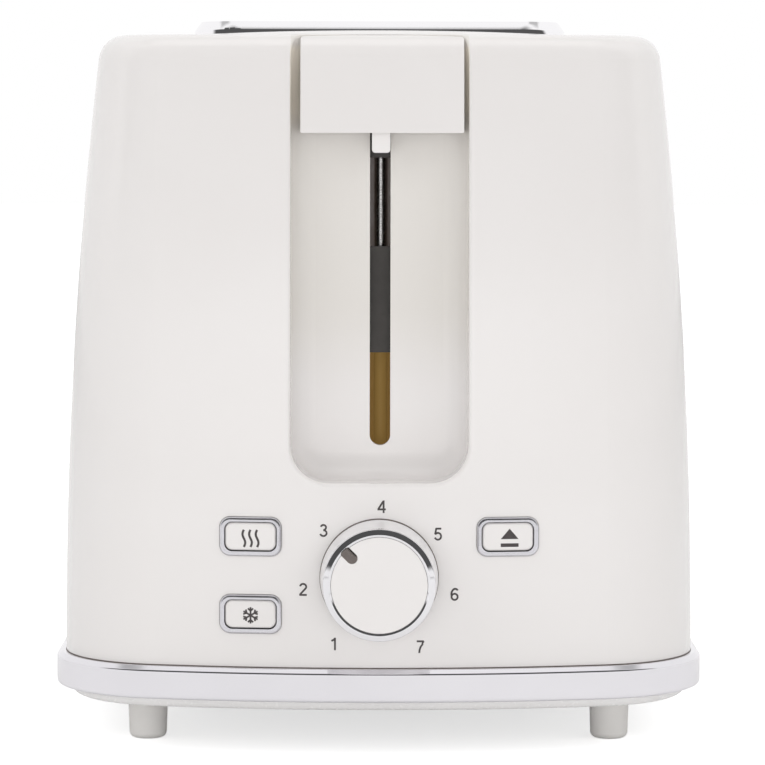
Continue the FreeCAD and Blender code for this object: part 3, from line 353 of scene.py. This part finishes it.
made = {slot: finish(*row) for slot, row in finishTable.items()}
for slot, (name, base, tone, strength) in paintedGlowTable.items():
    made[slot] = finish(name, *finishTable[base][1:])
    addPaintedGlow(*made[slot][1:], tone, strength)
materials = {slot: parts[0] for slot, parts in made.items()}
for slot in ("white_shell", "white_plastic"):
    addCoat(made[slot][2])
paintChannelShadeAndLight(*made["white_shell"][1:])
softenCone(*made["dial_chrome"][1:])
lacquerRod(*made["rod_steel"][1:])
slotOf = {entry["node"]: entry["material_slot"] for entry in frame["record"]["subparts"]}
for name, thing in nodes.items():
    thing.data.materials.clear()
    thing.data.materials.append(materials[specialLook.get(name, slotOf[name])])
print("stage: materials made")


# ---- mesh helpers


def addPiece(name, vertices, faces, material, body, slot, smooth=False):
    mesh = bpy.data.meshes.new(name)
    mesh.from_pydata(np.asarray(vertices).tolist(), [], [list(face) for face in faces])
    mesh.update()
    mesh.polygons.foreach_set("use_smooth", [smooth] * len(mesh.polygons))
    thing = bpy.data.objects.new(name, mesh)
    bpy.context.scene.collection.objects.link(thing)
    thing.data.materials.append(material)
    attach(thing, body)
    return thing


def closedGrid(rows, columns, flip=False):
    # faces of a grid that closes on itself both ways, as a ring's surface does
    row, column = np.meshgrid(np.arange(rows), np.arange(columns), indexing="ij")
    nextRow, nextColumn = (row + 1) % rows, (column + 1) % columns
    corners = [row * columns + column, row * columns + nextColumn,
               nextRow * columns + nextColumn, nextRow * columns + column]
    faces = np.stack(corners[::-1] if flip else corners, -1)
    return faces.reshape(-1, 4)


profileGuard = 0.00004      # how far past an arc's ends the extra points lie


def roundedProfile(corners, steps=6):
    # a closed outline with each corner turned by an arc of its own radius, and a point just past
    # each arc's ends so that the flats between shade flat
    points = np.array([corner[:2] for corner in corners], float)
    outline = []
    for index, corner in enumerate(corners):
        here, radius = points[index], corner[2]
        back, ahead = points[index - 1] - here, points[(index + 1) % len(points)] - here
        back, ahead = back / np.hypot(*back), ahead / np.hypot(*ahead)
        half = math.acos(np.clip(np.dot(back, ahead), -1, 1)) / 2
        reach = radius / math.tan(half)
        middle = here + (back + ahead) / np.hypot(*(back + ahead)) * radius / math.sin(half)
        start, end = here + back * reach - middle, here + ahead * reach - middle
        sweep = math.pi - 2 * half
        turn = np.sign(start[0] * end[1] - start[1] * end[0])
        angles = math.atan2(start[1], start[0]) + turn * np.linspace(0, sweep, steps)
        arc = middle + radius * np.column_stack([np.cos(angles), np.sin(angles)])
        past = reach + profileGuard
        outline += [here + back * past, *arc, here + ahead * past]
    return np.array(outline)


# ---- chrome base band and the seam over it

bandForm = {
    "lowerRound": 0.0008,
    "bevel": 0.0013,
    "bevelRound": 0.0007,
    "innerDepth": 0.0062,      # from the band's face to its inner wall
    "innerRound": 0.0002,
    "arcSteps": 48,
    "flankSteps": 8,
}


def fourQuarters(quarter, signs):
    # a quarter of the outline mirrored into all four, each without its last point
    parts = (quarter, quarter[::-1], quarter, quarter[::-1])
    return np.concatenate([sign * part[:-1] for sign, part in zip(signs, parts)])


def shellPath():
    # the shell's outline at its foot: two end arcs of one radius, four corner arcs, straight flanks
    bulge, corner = shellForm["bulgeRadius"], shellForm["cornerRadius"]
    steps, flanks = bandForm["arcSteps"], bandForm["flankSteps"]
    cornerX = shellHalfWidth - corner
    turn = math.asin(cornerX / (bulge - corner))
    centreY = shellHalfLength - bulge
    cornerY = centreY + math.sqrt((bulge - corner) ** 2 - cornerX ** 2)
    end = np.linspace(0, turn, steps)
    side = np.linspace(turn, math.pi / 2, steps)[1:]
    flank = np.linspace(0, 1, flanks + 1)[1:]
    x = np.concatenate([bulge * np.sin(end), cornerX + corner * np.sin(side),
                        np.full(flanks, shellHalfWidth)])
    y = np.concatenate([centreY + bulge * np.cos(end), cornerY + corner * np.cos(side),
                        cornerY * (1 - flank)])
    angle = np.concatenate([end, side, np.full(flanks, math.pi / 2)])
    acrossSigns, alongSigns = (1, 1, -1, -1), (1, -1, -1, 1)
    return (fourQuarters(x, acrossSigns), fourQuarters(y, alongSigns) + shellMiddleY,
            fourQuarters(np.sin(angle), acrossSigns), fourQuarters(np.cos(angle), alongSigns))


def carryRound(profile):
    # a profile of reach and height, carried round the shell's outline along the outline's normal
    x, y, outX, outY = shellPath()
    gridX = x[:, None] + outX[:, None] * profile[None, :, 0]
    gridY = y[:, None] + outY[:, None] * profile[None, :, 0]
    gridZ = np.broadcast_to(profile[None, :, 1], gridX.shape)
    vertices = np.stack([gridX, gridY, gridZ], -1).reshape(-1, 3)
    return vertices, closedGrid(*gridX.shape, flip=True)


def makeBaseBand():
    low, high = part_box("base_ring")
    proud = high.x - shellHalfWidth
    bevel, bevelRound = bandForm["bevel"], bandForm["bevelRound"]
    inner, innerRound = proud - bandForm["innerDepth"], bandForm["innerRound"]
    profile = roundedProfile([
        (inner, low.z, innerRound),
        (proud, low.z, bandForm["lowerRound"]),
        (proud, high.z - bevel, bevelRound),
        (proud - bevel, high.z, bevelRound),
        (inner, high.z, innerRound),
    ])
    band = addPiece("baseBand", *carryRound(profile), materials["chrome"], "housing", "chrome",
                    smooth=True)
    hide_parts("base_ring")


seamForm = {
    "inner": -0.0004,          # measured outwards from the shell's skin
    "outer": 0.00012,
    "below": 0.0004,           # measured from the band's top
    "above": 0.00022,
    "round": 0.00002,
    "lipRound": 0.00005,
    "steps": 3,
}


def makeBandSeam():
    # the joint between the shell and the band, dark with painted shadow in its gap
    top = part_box("base_ring")[1].z
    low, high = top - seamForm["below"], top + seamForm["above"]
    section = roundedProfile([
        (seamForm["inner"], low, seamForm["round"]),
        (seamForm["outer"], low, seamForm["round"]),
        (seamForm["outer"], high, seamForm["lipRound"]),
        (seamForm["inner"], high, seamForm["round"]),
    ], steps=seamForm["steps"])
    addPiece("bandSeam", *carryRound(section), materials["seat_line"], "housing", "dark_plastic",
             smooth=True)


makeBaseBand()
makeBandSeam()
print("stage: base band made")

# ---- top trim and the crowned top under it

trimForm = {
    "corner": 0.014,           # plan radius of the plate's corners
    "oldEdge": 0.0016,         # rounding that the plain plate has
    "near": 0.00001,           # how close a point has to be to count as on that rounding
    "lean": 0.00035,           # how far the rim's face leans in
    "faceShare": 0.39,         # height of that face as a share of the plate's
    "bevel": 0.00195,          # depth of the slope above it
    "swell": 1.15,             # above one, the slope is a little convex
    "sharp": 27,               # degrees from which an edge is left sharp
}


def copyMerged(name):
    # a node's loose triangles, with corners that agree to a tenth of a micron joined
    mesh = nodes[name].data
    points = np.empty(len(mesh.vertices) * 3)
    mesh.vertices.foreach_get("co", points)
    loops = np.empty(len(mesh.loops), int)
    mesh.loops.foreach_get("vertex_index", loops)
    places, joined = np.unique(np.round(points.reshape(-1, 3), 7), axis=0, return_inverse=True)
    faces = joined.reshape(-1)[loops].reshape(-1, 3)
    whole = (faces != np.roll(faces, 1, axis=1)).all(axis=1)
    return places, faces[whole]


def makeTopTrim():
    # the plate's rounded outer edge is opened into a leaning face and a slope: a point's angle on
    # the old rounding becomes its share of the way up the slope
    low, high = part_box("top_trim")
    points, faces = copyMerged("top_trim")
    corner, edge, near = trimForm["corner"], trimForm["oldEdge"], trimForm["near"]
    middle = np.array([(low.x + high.x) / 2, (low.y + high.y) / 2])
    half = np.array([(high.x - low.x) / 2, (high.y - low.y) / 2]) - corner
    flat = points[:, :2] - middle
    core = np.clip(flat, -half, half)
    away = flat - core
    reach = np.hypot(away[:, 0], away[:, 1])
    turn = high.z - edge
    outer = (corner - reach < edge + near) & (points[:, 2] > turn - near) & (reach > 0)
    share = np.arcsin(np.clip((points[outer, 2] - turn) / edge, 0, 1)) / (math.pi / 2)
    knee = low.z + trimForm["faceShare"] * (high.z - low.z)
    newReach = corner - (trimForm["lean"] + trimForm["bevel"] * share)
    outward = away[outer] / reach[outer, None]
    points[outer, :2] = middle + core[outer] + outward * newReach[:, None]
    points[outer, 2] = knee + (high.z - knee) * (1 - (1 - share) ** trimForm["swell"])
    trim = addPiece("topTrim", points, faces, materials["trim_chrome"], "housing", "chrome",
                    smooth=True)
    trim.data.set_sharp_from_angle(angle=math.radians(trimForm["sharp"]))
    shade = trim.modifiers.new("evenShade", "WEIGHTED_NORMAL")
    shade.keep_sharp = True
    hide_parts("top_trim")


def closedSlab(gridX, gridY, gridZ, thick):
    # a sheet and its copy a little lower, joined by walls along the four borders
    rows, columns = gridX.shape
    row, column = np.meshgrid(np.arange(rows - 1), np.arange(columns - 1), indexing="ij")
    corner = (row * columns + column).reshape(-1)
    upper = np.stack([corner, corner + 1, corner + columns + 1, corner + columns], -1)
    index = np.arange(rows * columns).reshape(rows, columns)
    border = np.concatenate([index[0], index[1:, -1], index[-1, :-1][::-1], index[1:-1, 0][::-1]])
    ahead, under = np.roll(border, -1), rows * columns
    walls = np.stack([border, border + under, ahead + under, ahead], -1)
    vertices = np.stack([gridX, gridY, gridZ], -1).reshape(-1, 3)
    vertices = np.concatenate([vertices, vertices - np.array([0, 0, thick])])
    return vertices, np.concatenate([upper, upper[:, ::-1] + under, walls])


crownForm = {
    "halfWidth": 0.0545,
    "rise": 0.00122,           # height over the shell's plain top, midway across
    "sink": 0.00003,           # how far the slab's borders lie under that top
    "thick": 0.0004,
    "front": -0.1222,          # where the front slab starts midway across
    "climb": 0.0056,           # distance from there over which the height is reached
    "end": -0.1000,
    "wideSteps": 60,
    "longSteps": 20,
    "sharp": 30,
}


def makeTopCrown():
    # the shell's top swells across its width: height is a parabola in x times a smooth step in y,
    # and the front border keeps to the arc of the shell's own end
    half, sink = crownForm["halfWidth"], crownForm["sink"]
    gridX, share = np.meshgrid(np.linspace(-half, half, crownForm["wideSteps"]),
                               np.linspace(0, 1, crownForm["longSteps"]))
    bow = shellForm["bulgeRadius"] - shellForm["flankInset"]
    front = crownForm["front"] + bow - np.sqrt(bow * bow - gridX ** 2)
    gridY = front + share * (crownForm["end"] - front)
    step = np.clip((gridY - front) / crownForm["climb"], 0, 1)
    height = (crownForm["rise"] + sink) * (1 - (gridX / half) ** 2)
    gridZ = shellTop - sink + height * step * step * (3 - 2 * step)
    vertices, faces = closedSlab(gridX, gridY, gridZ, crownForm["thick"])
    mirrored = np.column_stack([vertices[:, 0], 2 * shellMiddleY - vertices[:, 1], vertices[:, 2]])
    for name, places, turned in (("topCrownFront", vertices, faces),
                                 ("topCrownRear", mirrored, faces[:, ::-1])):
        crown = addPiece(name, places, turned, materials["white_plastic"], "housing",
                         "white_shell", smooth=True)
        crown.data.set_sharp_from_angle(angle=math.radians(crownForm["sharp"]))


makeTopTrim()
makeTopCrown()
print("stage: top made")

# ---- browning dial

dialForm = {
    "turnSteps": 160,
    "shoulder": 0.0155,        # radius where the cone meets the sloping rim
    "shoulderRound": 0.0005,
    "crest": 0.01392,          # radius of the rim's highest line
    "crestProud": 0.00024,     # how far that line stands over the white disc
    "crestRound": 0.0003,
    "bevelDrop": 0.00046,      # from the disc's level down to the shoulder
    "gap": 0.0001,             # between the rim and the disc
    "footRound": 0.0005,
    "innerDeep": 0.0012,       # how far the ring's inner wall goes back behind the disc's level
    "lipDeep": 0.00002,
    "lipRound": 0.00006,
    "backRound": 0.0001,
    "wall": 0.004,             # thickness at the foot
}

dialLow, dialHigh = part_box("dial_skirt")
faceLow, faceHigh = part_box("dial_face")
dialX = (dialLow.x + dialHigh.x) / 2
dialZ = (dialLow.z + dialHigh.z) / 2
dialFoot = (dialHigh.x - dialLow.x) / 2
faceRadius = (faceHigh.x - faceLow.x) / 2


def turnRadii(radii):
    # radii from the dial's axis, turned about it, as x and z
    angle = np.linspace(0, 2 * math.pi, dialForm["turnSteps"], endpoint=False)[:, None]
    return dialX + np.cos(angle) * radii, dialZ + np.sin(angle) * radii


def makeDialRing():
    # a section in radius and depth turned about the dial's axis
    front, form = faceLow.y, dialForm
    inner, back = faceRadius + form["gap"], faceLow.y + form["innerDeep"]
    section = roundedProfile([
        (inner, back, form["backRound"]),
        (inner, front + form["lipDeep"], form["lipRound"]),
        (form["crest"], front - form["crestProud"], form["crestRound"]),
        (form["shoulder"], front + form["bevelDrop"], form["shoulderRound"]),
        (dialFoot, dialHigh.y, form["footRound"]),
        (dialFoot - form["wall"], dialHigh.y, form["backRound"]),
        (dialFoot - form["wall"], back, form["backRound"]),
    ])
    gridX, gridZ = turnRadii(section[:, 0])
    gridY = np.broadcast_to(section[None, :, 1], gridX.shape)
    vertices = np.stack([gridX, gridY, gridZ], -1).reshape(-1, 3)
    ring = addPiece("dialRing", vertices, closedGrid(*gridX.shape), materials["dial_chrome"],
                    "dial", "chrome_satin", smooth=True)
    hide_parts("dial_skirt")


dialShadowRingForm = {
    "gap": 0.00002,            # from the cone's foot out to where the line's width is measured
    "inner": 0.0015,           # how far the ring goes in under the cone
    "width": 0.00016,
    "sunk": 0.0002,            # under the shell's skin
    "proud": 0.00006,          # over it
    "round": 0.00002,
    "lipRound": 0.00003,
    "steps": 3,
}


def makeDialShadowRing():
    # a narrow flat dark ring laid on the shell's skin round the cone's foot: painted shadow where
    # the cone meets the shell
    foot = dialFoot + dialShadowRingForm["gap"]
    inner, outer = foot - dialShadowRingForm["inner"], foot + dialShadowRingForm["width"]
    section = roundedProfile([
        (inner, -dialShadowRingForm["sunk"], dialShadowRingForm["round"]),
        (inner, dialShadowRingForm["proud"], dialShadowRingForm["round"]),
        (outer, dialShadowRingForm["proud"], dialShadowRingForm["lipRound"]),
        (outer, -dialShadowRingForm["sunk"], dialShadowRingForm["round"]),
    ], steps=dialShadowRingForm["steps"])
    gridX, gridZ = turnRadii(section[:, 0])
    gridY = frontY(gridX, gridZ) - section[None, :, 1]
    vertices = np.stack([gridX, gridY, gridZ], -1).reshape(-1, 3)
    addPiece("dialShadowRing", vertices, closedGrid(*gridX.shape, flip=True), materials["seat_line"],
             "housing", "dark_plastic", smooth=True)


pointerForm = {
    "turn": 135.0,             # degrees round from the dial's right
    "inner": 0.0091,           # distances from the dial's axis
    "outer": 0.0139,
    "width": 0.0031,
    "endSteps": 25,
    "barSteps": 12,
    "domeSteps": 9,
}


def makePointer():
    # a rib whose outline is a bar with a round inner end and whose section is a quarter ellipse: it
    # rises by an angle's sine while its outline draws in by one less the cosine
    low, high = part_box("dial_pointer")
    turn = math.radians(pointerForm["turn"])
    along = np.array([math.cos(turn), math.sin(turn)])
    across = np.array([-math.sin(turn), math.cos(turn)])
    sweep = np.linspace(-math.pi / 2, math.pi / 2, pointerForm["endSteps"])
    half = pointerForm["width"] / 2
    start = pointerForm["inner"] + half
    bar = np.linspace(pointerForm["outer"], start, pointerForm["barSteps"], endpoint=False)
    edge = np.vstack([
        np.column_stack([bar, np.full(len(bar), -half)]),
        np.column_stack([start - half * np.cos(sweep), half * np.sin(sweep)]),
        np.column_stack([bar[::-1], np.full(len(bar), half)]),
    ])
    spine = np.column_stack([np.clip(edge[:, 0], start, None), np.zeros(len(edge))])
    climb = np.linspace(0, math.pi / 2, pointerForm["domeSteps"])[:, None, None]
    layers = edge + (spine - edge) * (1 - np.cos(climb))
    rise = np.broadcast_to(np.sin(climb)[..., 0] * (faceLow.y - low.y), layers.shape[:2])
    flat = layers[..., :1] * along + layers[..., 1:] * across
    vertices = np.stack([dialX + flat[..., 0], faceLow.y - rise, dialZ + flat[..., 1]], -1)
    foot = vertices[:1] + np.array([0, high.y - faceLow.y, 0])
    vertices = np.concatenate([foot, vertices])
    rows, columns = vertices.shape[:2]
    row, column = np.meshgrid(np.arange(rows - 1), np.arange(columns), indexing="ij")
    ahead = (column + 1) % columns
    faces = np.stack([row * columns + column, (row + 1) * columns + column,
                      (row + 1) * columns + ahead, row * columns + ahead], -1).reshape(-1, 4)
    pointer = addPiece("dialPointer", vertices.reshape(-1, 3), faces, materials["pointer_metal"],
                       "dial", "chrome", smooth=True)
    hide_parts("dial_pointer")


makeDialRing()
makeDialShadowRing()
makePointer()
print("stage: dial made")

# ---- printed marks

digitStyle = {
    "height": 0.0035,
    "wide": 1.1,               # stretch across
    "middle": (0.28, 0.5),     # of a figure, as its paths are drawn
    "stroke": 0.15,            # as a share of the height
    "ring": 0.02125,           # radius of the circle that the figures stand on
    "drop": 0.0014,            # how far its middle lies under the dial's
    "start": 88.2,             # where 4 stands, degrees round from the right
    "sweep": 48.5,             # degrees from one figure to the next
}
inkForm = {
    "sunk": 0.00004,           # how far the film's inner side lies under the skin
    "film": 0.00006,
}


def arcPath(middleX, middleY, radiusX, radiusY, start, end, steps=22):
    angle = np.radians(np.linspace(start, end, steps))
    return np.column_stack([middleX + radiusX * np.cos(angle), middleY + radiusY * np.sin(angle)])


def linePath(*corners):
    return np.array(corners, float)


def digitPaths():
    # each figure as the middle lines of its strokes, one high and a little over half as wide
    return {
        1: [linePath((0.36, 0.0), (0.36, 0.5), (0.36, 1.0)),
            linePath((0.37, 0.96), (0.27, 0.84), (0.10, 0.74))],
        2: [np.vstack([arcPath(0.29, 0.71, 0.22, 0.23, 170, -25),
                       linePath((0.40, 0.50), (0.10, 0.14), (0.05, 0.06))]),
            linePath((0.01, 0.06), (0.28, 0.06), (0.55, 0.06))],
        3: [arcPath(0.27, 0.74, 0.19, 0.20, 165, -88), arcPath(0.27, 0.29, 0.23, 0.235, 92, -165)],
        4: [linePath((0.42, 0.0), (0.42, 0.5), (0.42, 1.0)),
            linePath((0.42, 0.97), (0.22, 0.63), (0.03, 0.29)),
            linePath((-0.02, 0.29), (0.28, 0.29), (0.58, 0.29))],
        5: [linePath((0.12, 0.94), (0.32, 0.94), (0.51, 0.94)),
            linePath((0.15, 0.98), (0.11, 0.74), (0.07, 0.48)),
            arcPath(0.27, 0.33, 0.23, 0.27, 148, -160)],
        6: [arcPath(0.28, 0.30, 0.22, 0.245, 0, 360, 36), arcPath(0.32, 0.50, 0.27, 0.44, 45, 195)],
        7: [linePath((0.02, 0.94), (0.28, 0.94), (0.54, 0.94)),
            np.vstack([linePath((0.53, 0.95), (0.44, 0.80)),
                       arcPath(0.66, 0.0, 0.45, 0.78, 120, 180, 14)])],
    }


def strokeStrip(path, width):
    # a strip of even width along a path: each point is pushed out both ways along the path's normal
    along = np.gradient(path, axis=0)
    along /= np.hypot(along[:, 0], along[:, 1])[:, None]
    side = np.column_stack([-along[:, 1], along[:, 0]]) * width / 2
    count = len(path)
    index = np.arange(count - 1)
    faces = np.column_stack([index, index + count, index + 1 + count, index + 1])
    return np.vstack([path + side, path - side]), faces


def joinStrips(strips):
    points, faces, start = [], [], 0
    for stripPoints, stripFaces in strips:
        points.append(stripPoints)
        faces.append(stripFaces + start)
        start += len(stripPoints)
    return np.vstack(points), np.vstack(faces)


def inkMark(name, points, faces, proud=0.0, body="housing"):
    # the flat mark is laid on the end's skin, or proud of it, and given the ink's thickness
    depth = frontY(points[:, 0], points[:, 1], proud) - inkForm["sunk"]
    vertices = np.column_stack([points[:, 0], depth, points[:, 1]])
    mark = addPiece(name, vertices, faces, materials["print_ink"], body, "dark_plastic")
    film = mark.modifiers.new("inkFilm", "SOLIDIFY")
    film.thickness = inkForm["film"]
    film.offset = -1


def makeDigits():
    scale = np.array([digitStyle["wide"], 1])
    stroke = digitStyle["stroke"] * digitStyle["height"]
    for digit, paths in digitPaths().items():
        angle = math.radians(digitStyle["start"] - (digit - 4) * digitStyle["sweep"])
        place = np.array([dialX + digitStyle["ring"] * math.cos(angle),
                          dialZ - digitStyle["drop"] + digitStyle["ring"] * math.sin(angle)])
        strips = []
        for path in paths:
            drawn = (path - np.array(digitStyle["middle"])) * scale * digitStyle["height"]
            strips.append(strokeStrip(drawn + place, stroke))
        inkMark(f"dialDigit{digit}", *joinStrips(strips))


def capMiddle(node):
    low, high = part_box(node)
    return np.array([(low.x + high.x) / 2, (low.z + high.z) / 2])


capProud = 0.0006              # how far the caps stand out of the end's skin

heatStyle = {
    "stroke": 0.00062,
    "wave": 0.00038,           # how far the waves swing
    "halfHeight": 0.0024,
    "spacing": 0.00185,
    "drop": 0.0005,            # how far the icon sits under its cap's middle
    "steps": 25,
}


def makeHeatIcon():
    # three upright sine waves, one period each
    rise = np.linspace(-1, 1, heatStyle["steps"])
    middle = capMiddle("button_reheat") - np.array([0, heatStyle["drop"]])
    strips = []
    for step in (-1, 0, 1):
        swing = step * heatStyle["spacing"] - heatStyle["wave"] * np.sin(rise * math.pi)
        wave = np.column_stack([swing, rise * heatStyle["halfHeight"]])
        strips.append(strokeStrip(middle + wave, heatStyle["stroke"]))
    inkMark("heatIcon", *joinStrips(strips), capProud, "reheat_button")


snowStyle = {
    "stroke": 0.0005,
    "arms": 6,
    "start": 30,               # degrees round to the first arm
    "arm": 0.0023,
    "twig": 0.0010,
    "twigPlace": 0.55,         # as a share of the arm
    "twigLean": 48,
    "drop": 0.0003,
    "armSteps": 5,
    "twigSteps": 3,
}


def makeSnowIcon():
    # arms from the middle, each with two twigs that lean outwards
    middle = capMiddle("button_defrost") - np.array([0, snowStyle["drop"]])
    armReach = np.linspace(0, snowStyle["arm"], snowStyle["armSteps"])[:, None]
    twigReach = np.linspace(0, snowStyle["twig"], snowStyle["twigSteps"])[:, None]
    strips = []
    for arm in range(snowStyle["arms"]):
        turn = math.radians(360 / snowStyle["arms"] * arm + snowStyle["start"])
        out = np.array([math.cos(turn), math.sin(turn)])
        strips.append(strokeStrip(middle + armReach * out, snowStyle["stroke"]))
        fork = middle + out * snowStyle["arm"] * snowStyle["twigPlace"]
        for lean in (-1, 1):
            bend = turn + lean * math.radians(snowStyle["twigLean"])
            twig = twigReach * np.array([math.cos(bend), math.sin(bend)])
            strips.append(strokeStrip(fork + twig, snowStyle["stroke"]))
    inkMark("snowIcon", *joinStrips(strips), capProud, "defrost_button")


stopStyle = {
    "half": 0.0025,            # half the width of the triangle and of the bar
    "tall": 0.0029,
    "space": 0.0012,
    "bar": 0.0010,
    "drop": 0.0006,
    "aside": 0.0005,
}


def makeStopIcon():
    # a triangle over a bar
    middle = capMiddle("button_stop") + np.array([stopStyle["aside"], -stopStyle["drop"]])
    half, high = stopStyle["half"], -stopStyle["space"]
    low = high - stopStyle["bar"]
    triangle = np.array([(-half, 0.0), (0.0, stopStyle["tall"]), (half, 0.0), (0.0, 0.0)])
    bar = np.array([(-half, low), (half, low), (half, high), (-half, high)])
    points = middle + np.vstack([triangle, bar])
    inkMark("stopIcon", points, [[0, 3, 2, 1], [4, 5, 6, 7]], capProud, "stop_button")


makeDigits()
makeHeatIcon()
makeSnowIcon()
makeStopIcon()
print("stage: printed marks made")

# ---- studio

studio = {
    "worldPlain": 0.65,        # how bright the room is for matt surfaces
    "floorHalf": 6.0,
    "floorTone": 0.86,
    "floorRough": 0.9,
    "floorSeen": 0.62,         # added for the camera, so the floor reads white
    "floorMirrored": 0.12,     # added for reflections
}

# what polished metal sees: spans of the direction's z and y over which the room darkens or clears
roomForm = {
    "dark": 0.09,              # brightness of the dark part in front
    "rearShare": 0.5,          # the share of that darkness which the band at the back has
    "frontRise": (0.06, 0.16),
    "frontTurn": (-0.35, -0.15),
    "rearRise": (0.82, 0.88),
    "rearTurn": (-0.15, 0.0),
    "overhead": (0.93, 0.96),
}

# one row per lamp: name, place, what it points at, width, height and power
lampTable = (
    ("lampLeft", (-1.2, -0.9, 0.9), (0, 0, 0.1), 1.0, 1.0, 3.4),
    ("lampRight", (1.2, -0.9, 0.9), (0, 0, 0.1), 1.0, 1.0, 3.4),
    ("lampTop", (0, 0.1, 1.6), (0, 0.1, 0.1), 1.2, 1.2, 6.0),
    ("lampFront", (0, -1.35, 0.14), (0, 0, 0.1), 1.2, 0.25, 3.0),
    ("lampRear", (0, 1.5, 0.3), (0, 0, 0.1), 1.2, 0.5, 3.0),
)


def mirrorRoom(tree):
    # a white room that is dark in front, from just over the floor to nearly overhead, and has a
    # narrow, paler dark band high up at the back
    parts = addNode(tree, "ShaderNodeSeparateXYZ")
    tree.links.new(addNode(tree, "ShaderNodeTexCoord").outputs["Generated"], parts.inputs[0])
    up, back = parts.outputs["Z"], parts.outputs["Y"]
    frontPart = combine(tree, "MULTIPLY", spread(tree, up, 0, 1, *roomForm["frontRise"]),
                        spread(tree, back, 1, 0, *roomForm["frontTurn"]))
    rearPart = combine(tree, "MULTIPLY", spread(tree, up, 0, 1, *roomForm["rearRise"]),
                       spread(tree, back, 0, 1, *roomForm["rearTurn"]))
    rearPart = combine(tree, "MULTIPLY", rearPart, roomForm["rearShare"])
    overhead = spread(tree, up, 1, 0, *roomForm["overhead"])
    dark = combine(tree, "MULTIPLY", combine(tree, "MAXIMUM", frontPart, rearPart), overhead)
    return combine(tree, "SUBTRACT", 1.0, combine(tree, "MULTIPLY", dark, 1.0 - roomForm["dark"]))


def makeWorld():
    # matt surfaces are lit by an even room, polished ones mirror the room above, and the camera and
    # anything clear see white
    world = bpy.data.worlds.new("studioWorld")
    bpy.context.scene.world = world
    world.use_nodes = True
    tree = world.node_tree
    tree.nodes.clear()
    path = addNode(tree, "ShaderNodeLightPath")
    clear = combine(tree, "MAXIMUM", path.outputs["Is Camera Ray"],
                    path.outputs["Is Transmission Ray"])
    seen = combine(tree, "MAXIMUM", clear, path.outputs["Is Glossy Ray"])
    mirrored = combine(tree, "MULTIPLY", mirrorRoom(tree), path.outputs["Is Glossy Ray"])
    bright = combine(tree, "MAXIMUM", clear, mirrored)
    plain = addNode(tree, "ShaderNodeBackground")
    plain.inputs["Color"].default_value = (1, 1, 1, 1)
    plain.inputs["Strength"].default_value = studio["worldPlain"]
    white = addNode(tree, "ShaderNodeBackground")
    white.inputs["Color"].default_value = (1, 1, 1, 1)
    tree.links.new(bright, white.inputs["Strength"])
    mixed = addNode(tree, "ShaderNodeMixShader")
    output = addNode(tree, "ShaderNodeOutputWorld")
    tree.links.new(seen, mixed.inputs["Fac"])
    tree.links.new(plain.outputs[0], mixed.inputs[1])
    tree.links.new(white.outputs[0], mixed.inputs[2])
    tree.links.new(mixed.outputs[0], output.inputs["Surface"])


def makeFloor():
    half = studio["floorHalf"]
    mesh = bpy.data.meshes.new("studioFloor")
    mesh.from_pydata([(-half, -half, 0), (half, -half, 0), (half, half, 0), (-half, half, 0)],
                     [], [(0, 1, 2, 3)])
    floor = bpy.data.objects.new("studioFloor", mesh)
    bpy.context.scene.collection.objects.link(floor)
    material, tree, shader = startMaterial("paleFloor", (studio["floorTone"],) * 3,
                                           studio["floorRough"])
    shader.inputs["Specular IOR Level"].default_value = 0.0
    path = addNode(tree, "ShaderNodeLightPath")
    seen = combine(tree, "MULTIPLY", path.outputs["Is Camera Ray"], studio["floorSeen"])
    mirrored = combine(tree, "MULTIPLY", path.outputs["Is Glossy Ray"], studio["floorMirrored"])
    shader.inputs["Emission Color"].default_value = (1, 1, 1, 1)
    tree.links.new(combine(tree, "ADD", seen, mirrored), shader.inputs["Emission Strength"])
    floor.data.materials.append(material)


def makeLamp(name, place, aim, width, height, energy):
    lamp = bpy.data.lights.new(name, "AREA")
    lamp.shape = "RECTANGLE"
    lamp.size, lamp.size_y = width, height
    lamp.energy = energy
    thing = bpy.data.objects.new(name, lamp)
    bpy.context.scene.collection.objects.link(thing)
    away = np.array(place) - np.array(aim)
    flat = math.hypot(away[0], away[1])
    thing.location = place
    thing.rotation_euler = (math.atan2(flat, away[2]), 0,
                            math.atan2(away[1], away[0]) + math.pi / 2)
    thing.visible_camera = False
    thing.visible_glossy = False      # metal sees the room instead


makeWorld()
makeFloor()
for row in lampTable:
    makeLamp(*row)
bpy.context.scene.view_settings.view_transform = "Standard"
print("stage: studio made")

# ---- camera

shot = {
    "distance": 0.9645,        # from the shell's end to the lens
    "aside": 0.00084,
    "height": 0.1784,
    "yaw": -0.223,             # degrees off square on, below zero to the left
    "pitch": 4.341,            # degrees down
    "roll": 0.095,
    "lens": 164.55,
    "sensor": 36,
}


def makeCamera():
    data = bpy.data.cameras.new("shotCamera")
    data.lens = shot["lens"]
    data.sensor_width = shot["sensor"]
    camera = bpy.data.objects.new("shotCamera", data)
    bpy.context.scene.collection.objects.link(camera)
    turn = math.radians(-shot["yaw"])
    away = shot["distance"]
    camera.location = (shot["aside"] - away * math.sin(turn),
                       shellLow.y - away * math.cos(turn), shot["height"])
    level = (Matrix.Rotation(-turn, 4, "Z")
             @ Matrix.Rotation(math.radians(90 - shot["pitch"]), 4, "X"))
    tilt = Matrix.Rotation(math.radians(shot["roll"]), 4, "Z")
    camera.rotation_euler = (level @ tilt).to_euler("XYZ")
    bpy.context.scene.camera = camera


makeCamera()
print("stage: camera made")
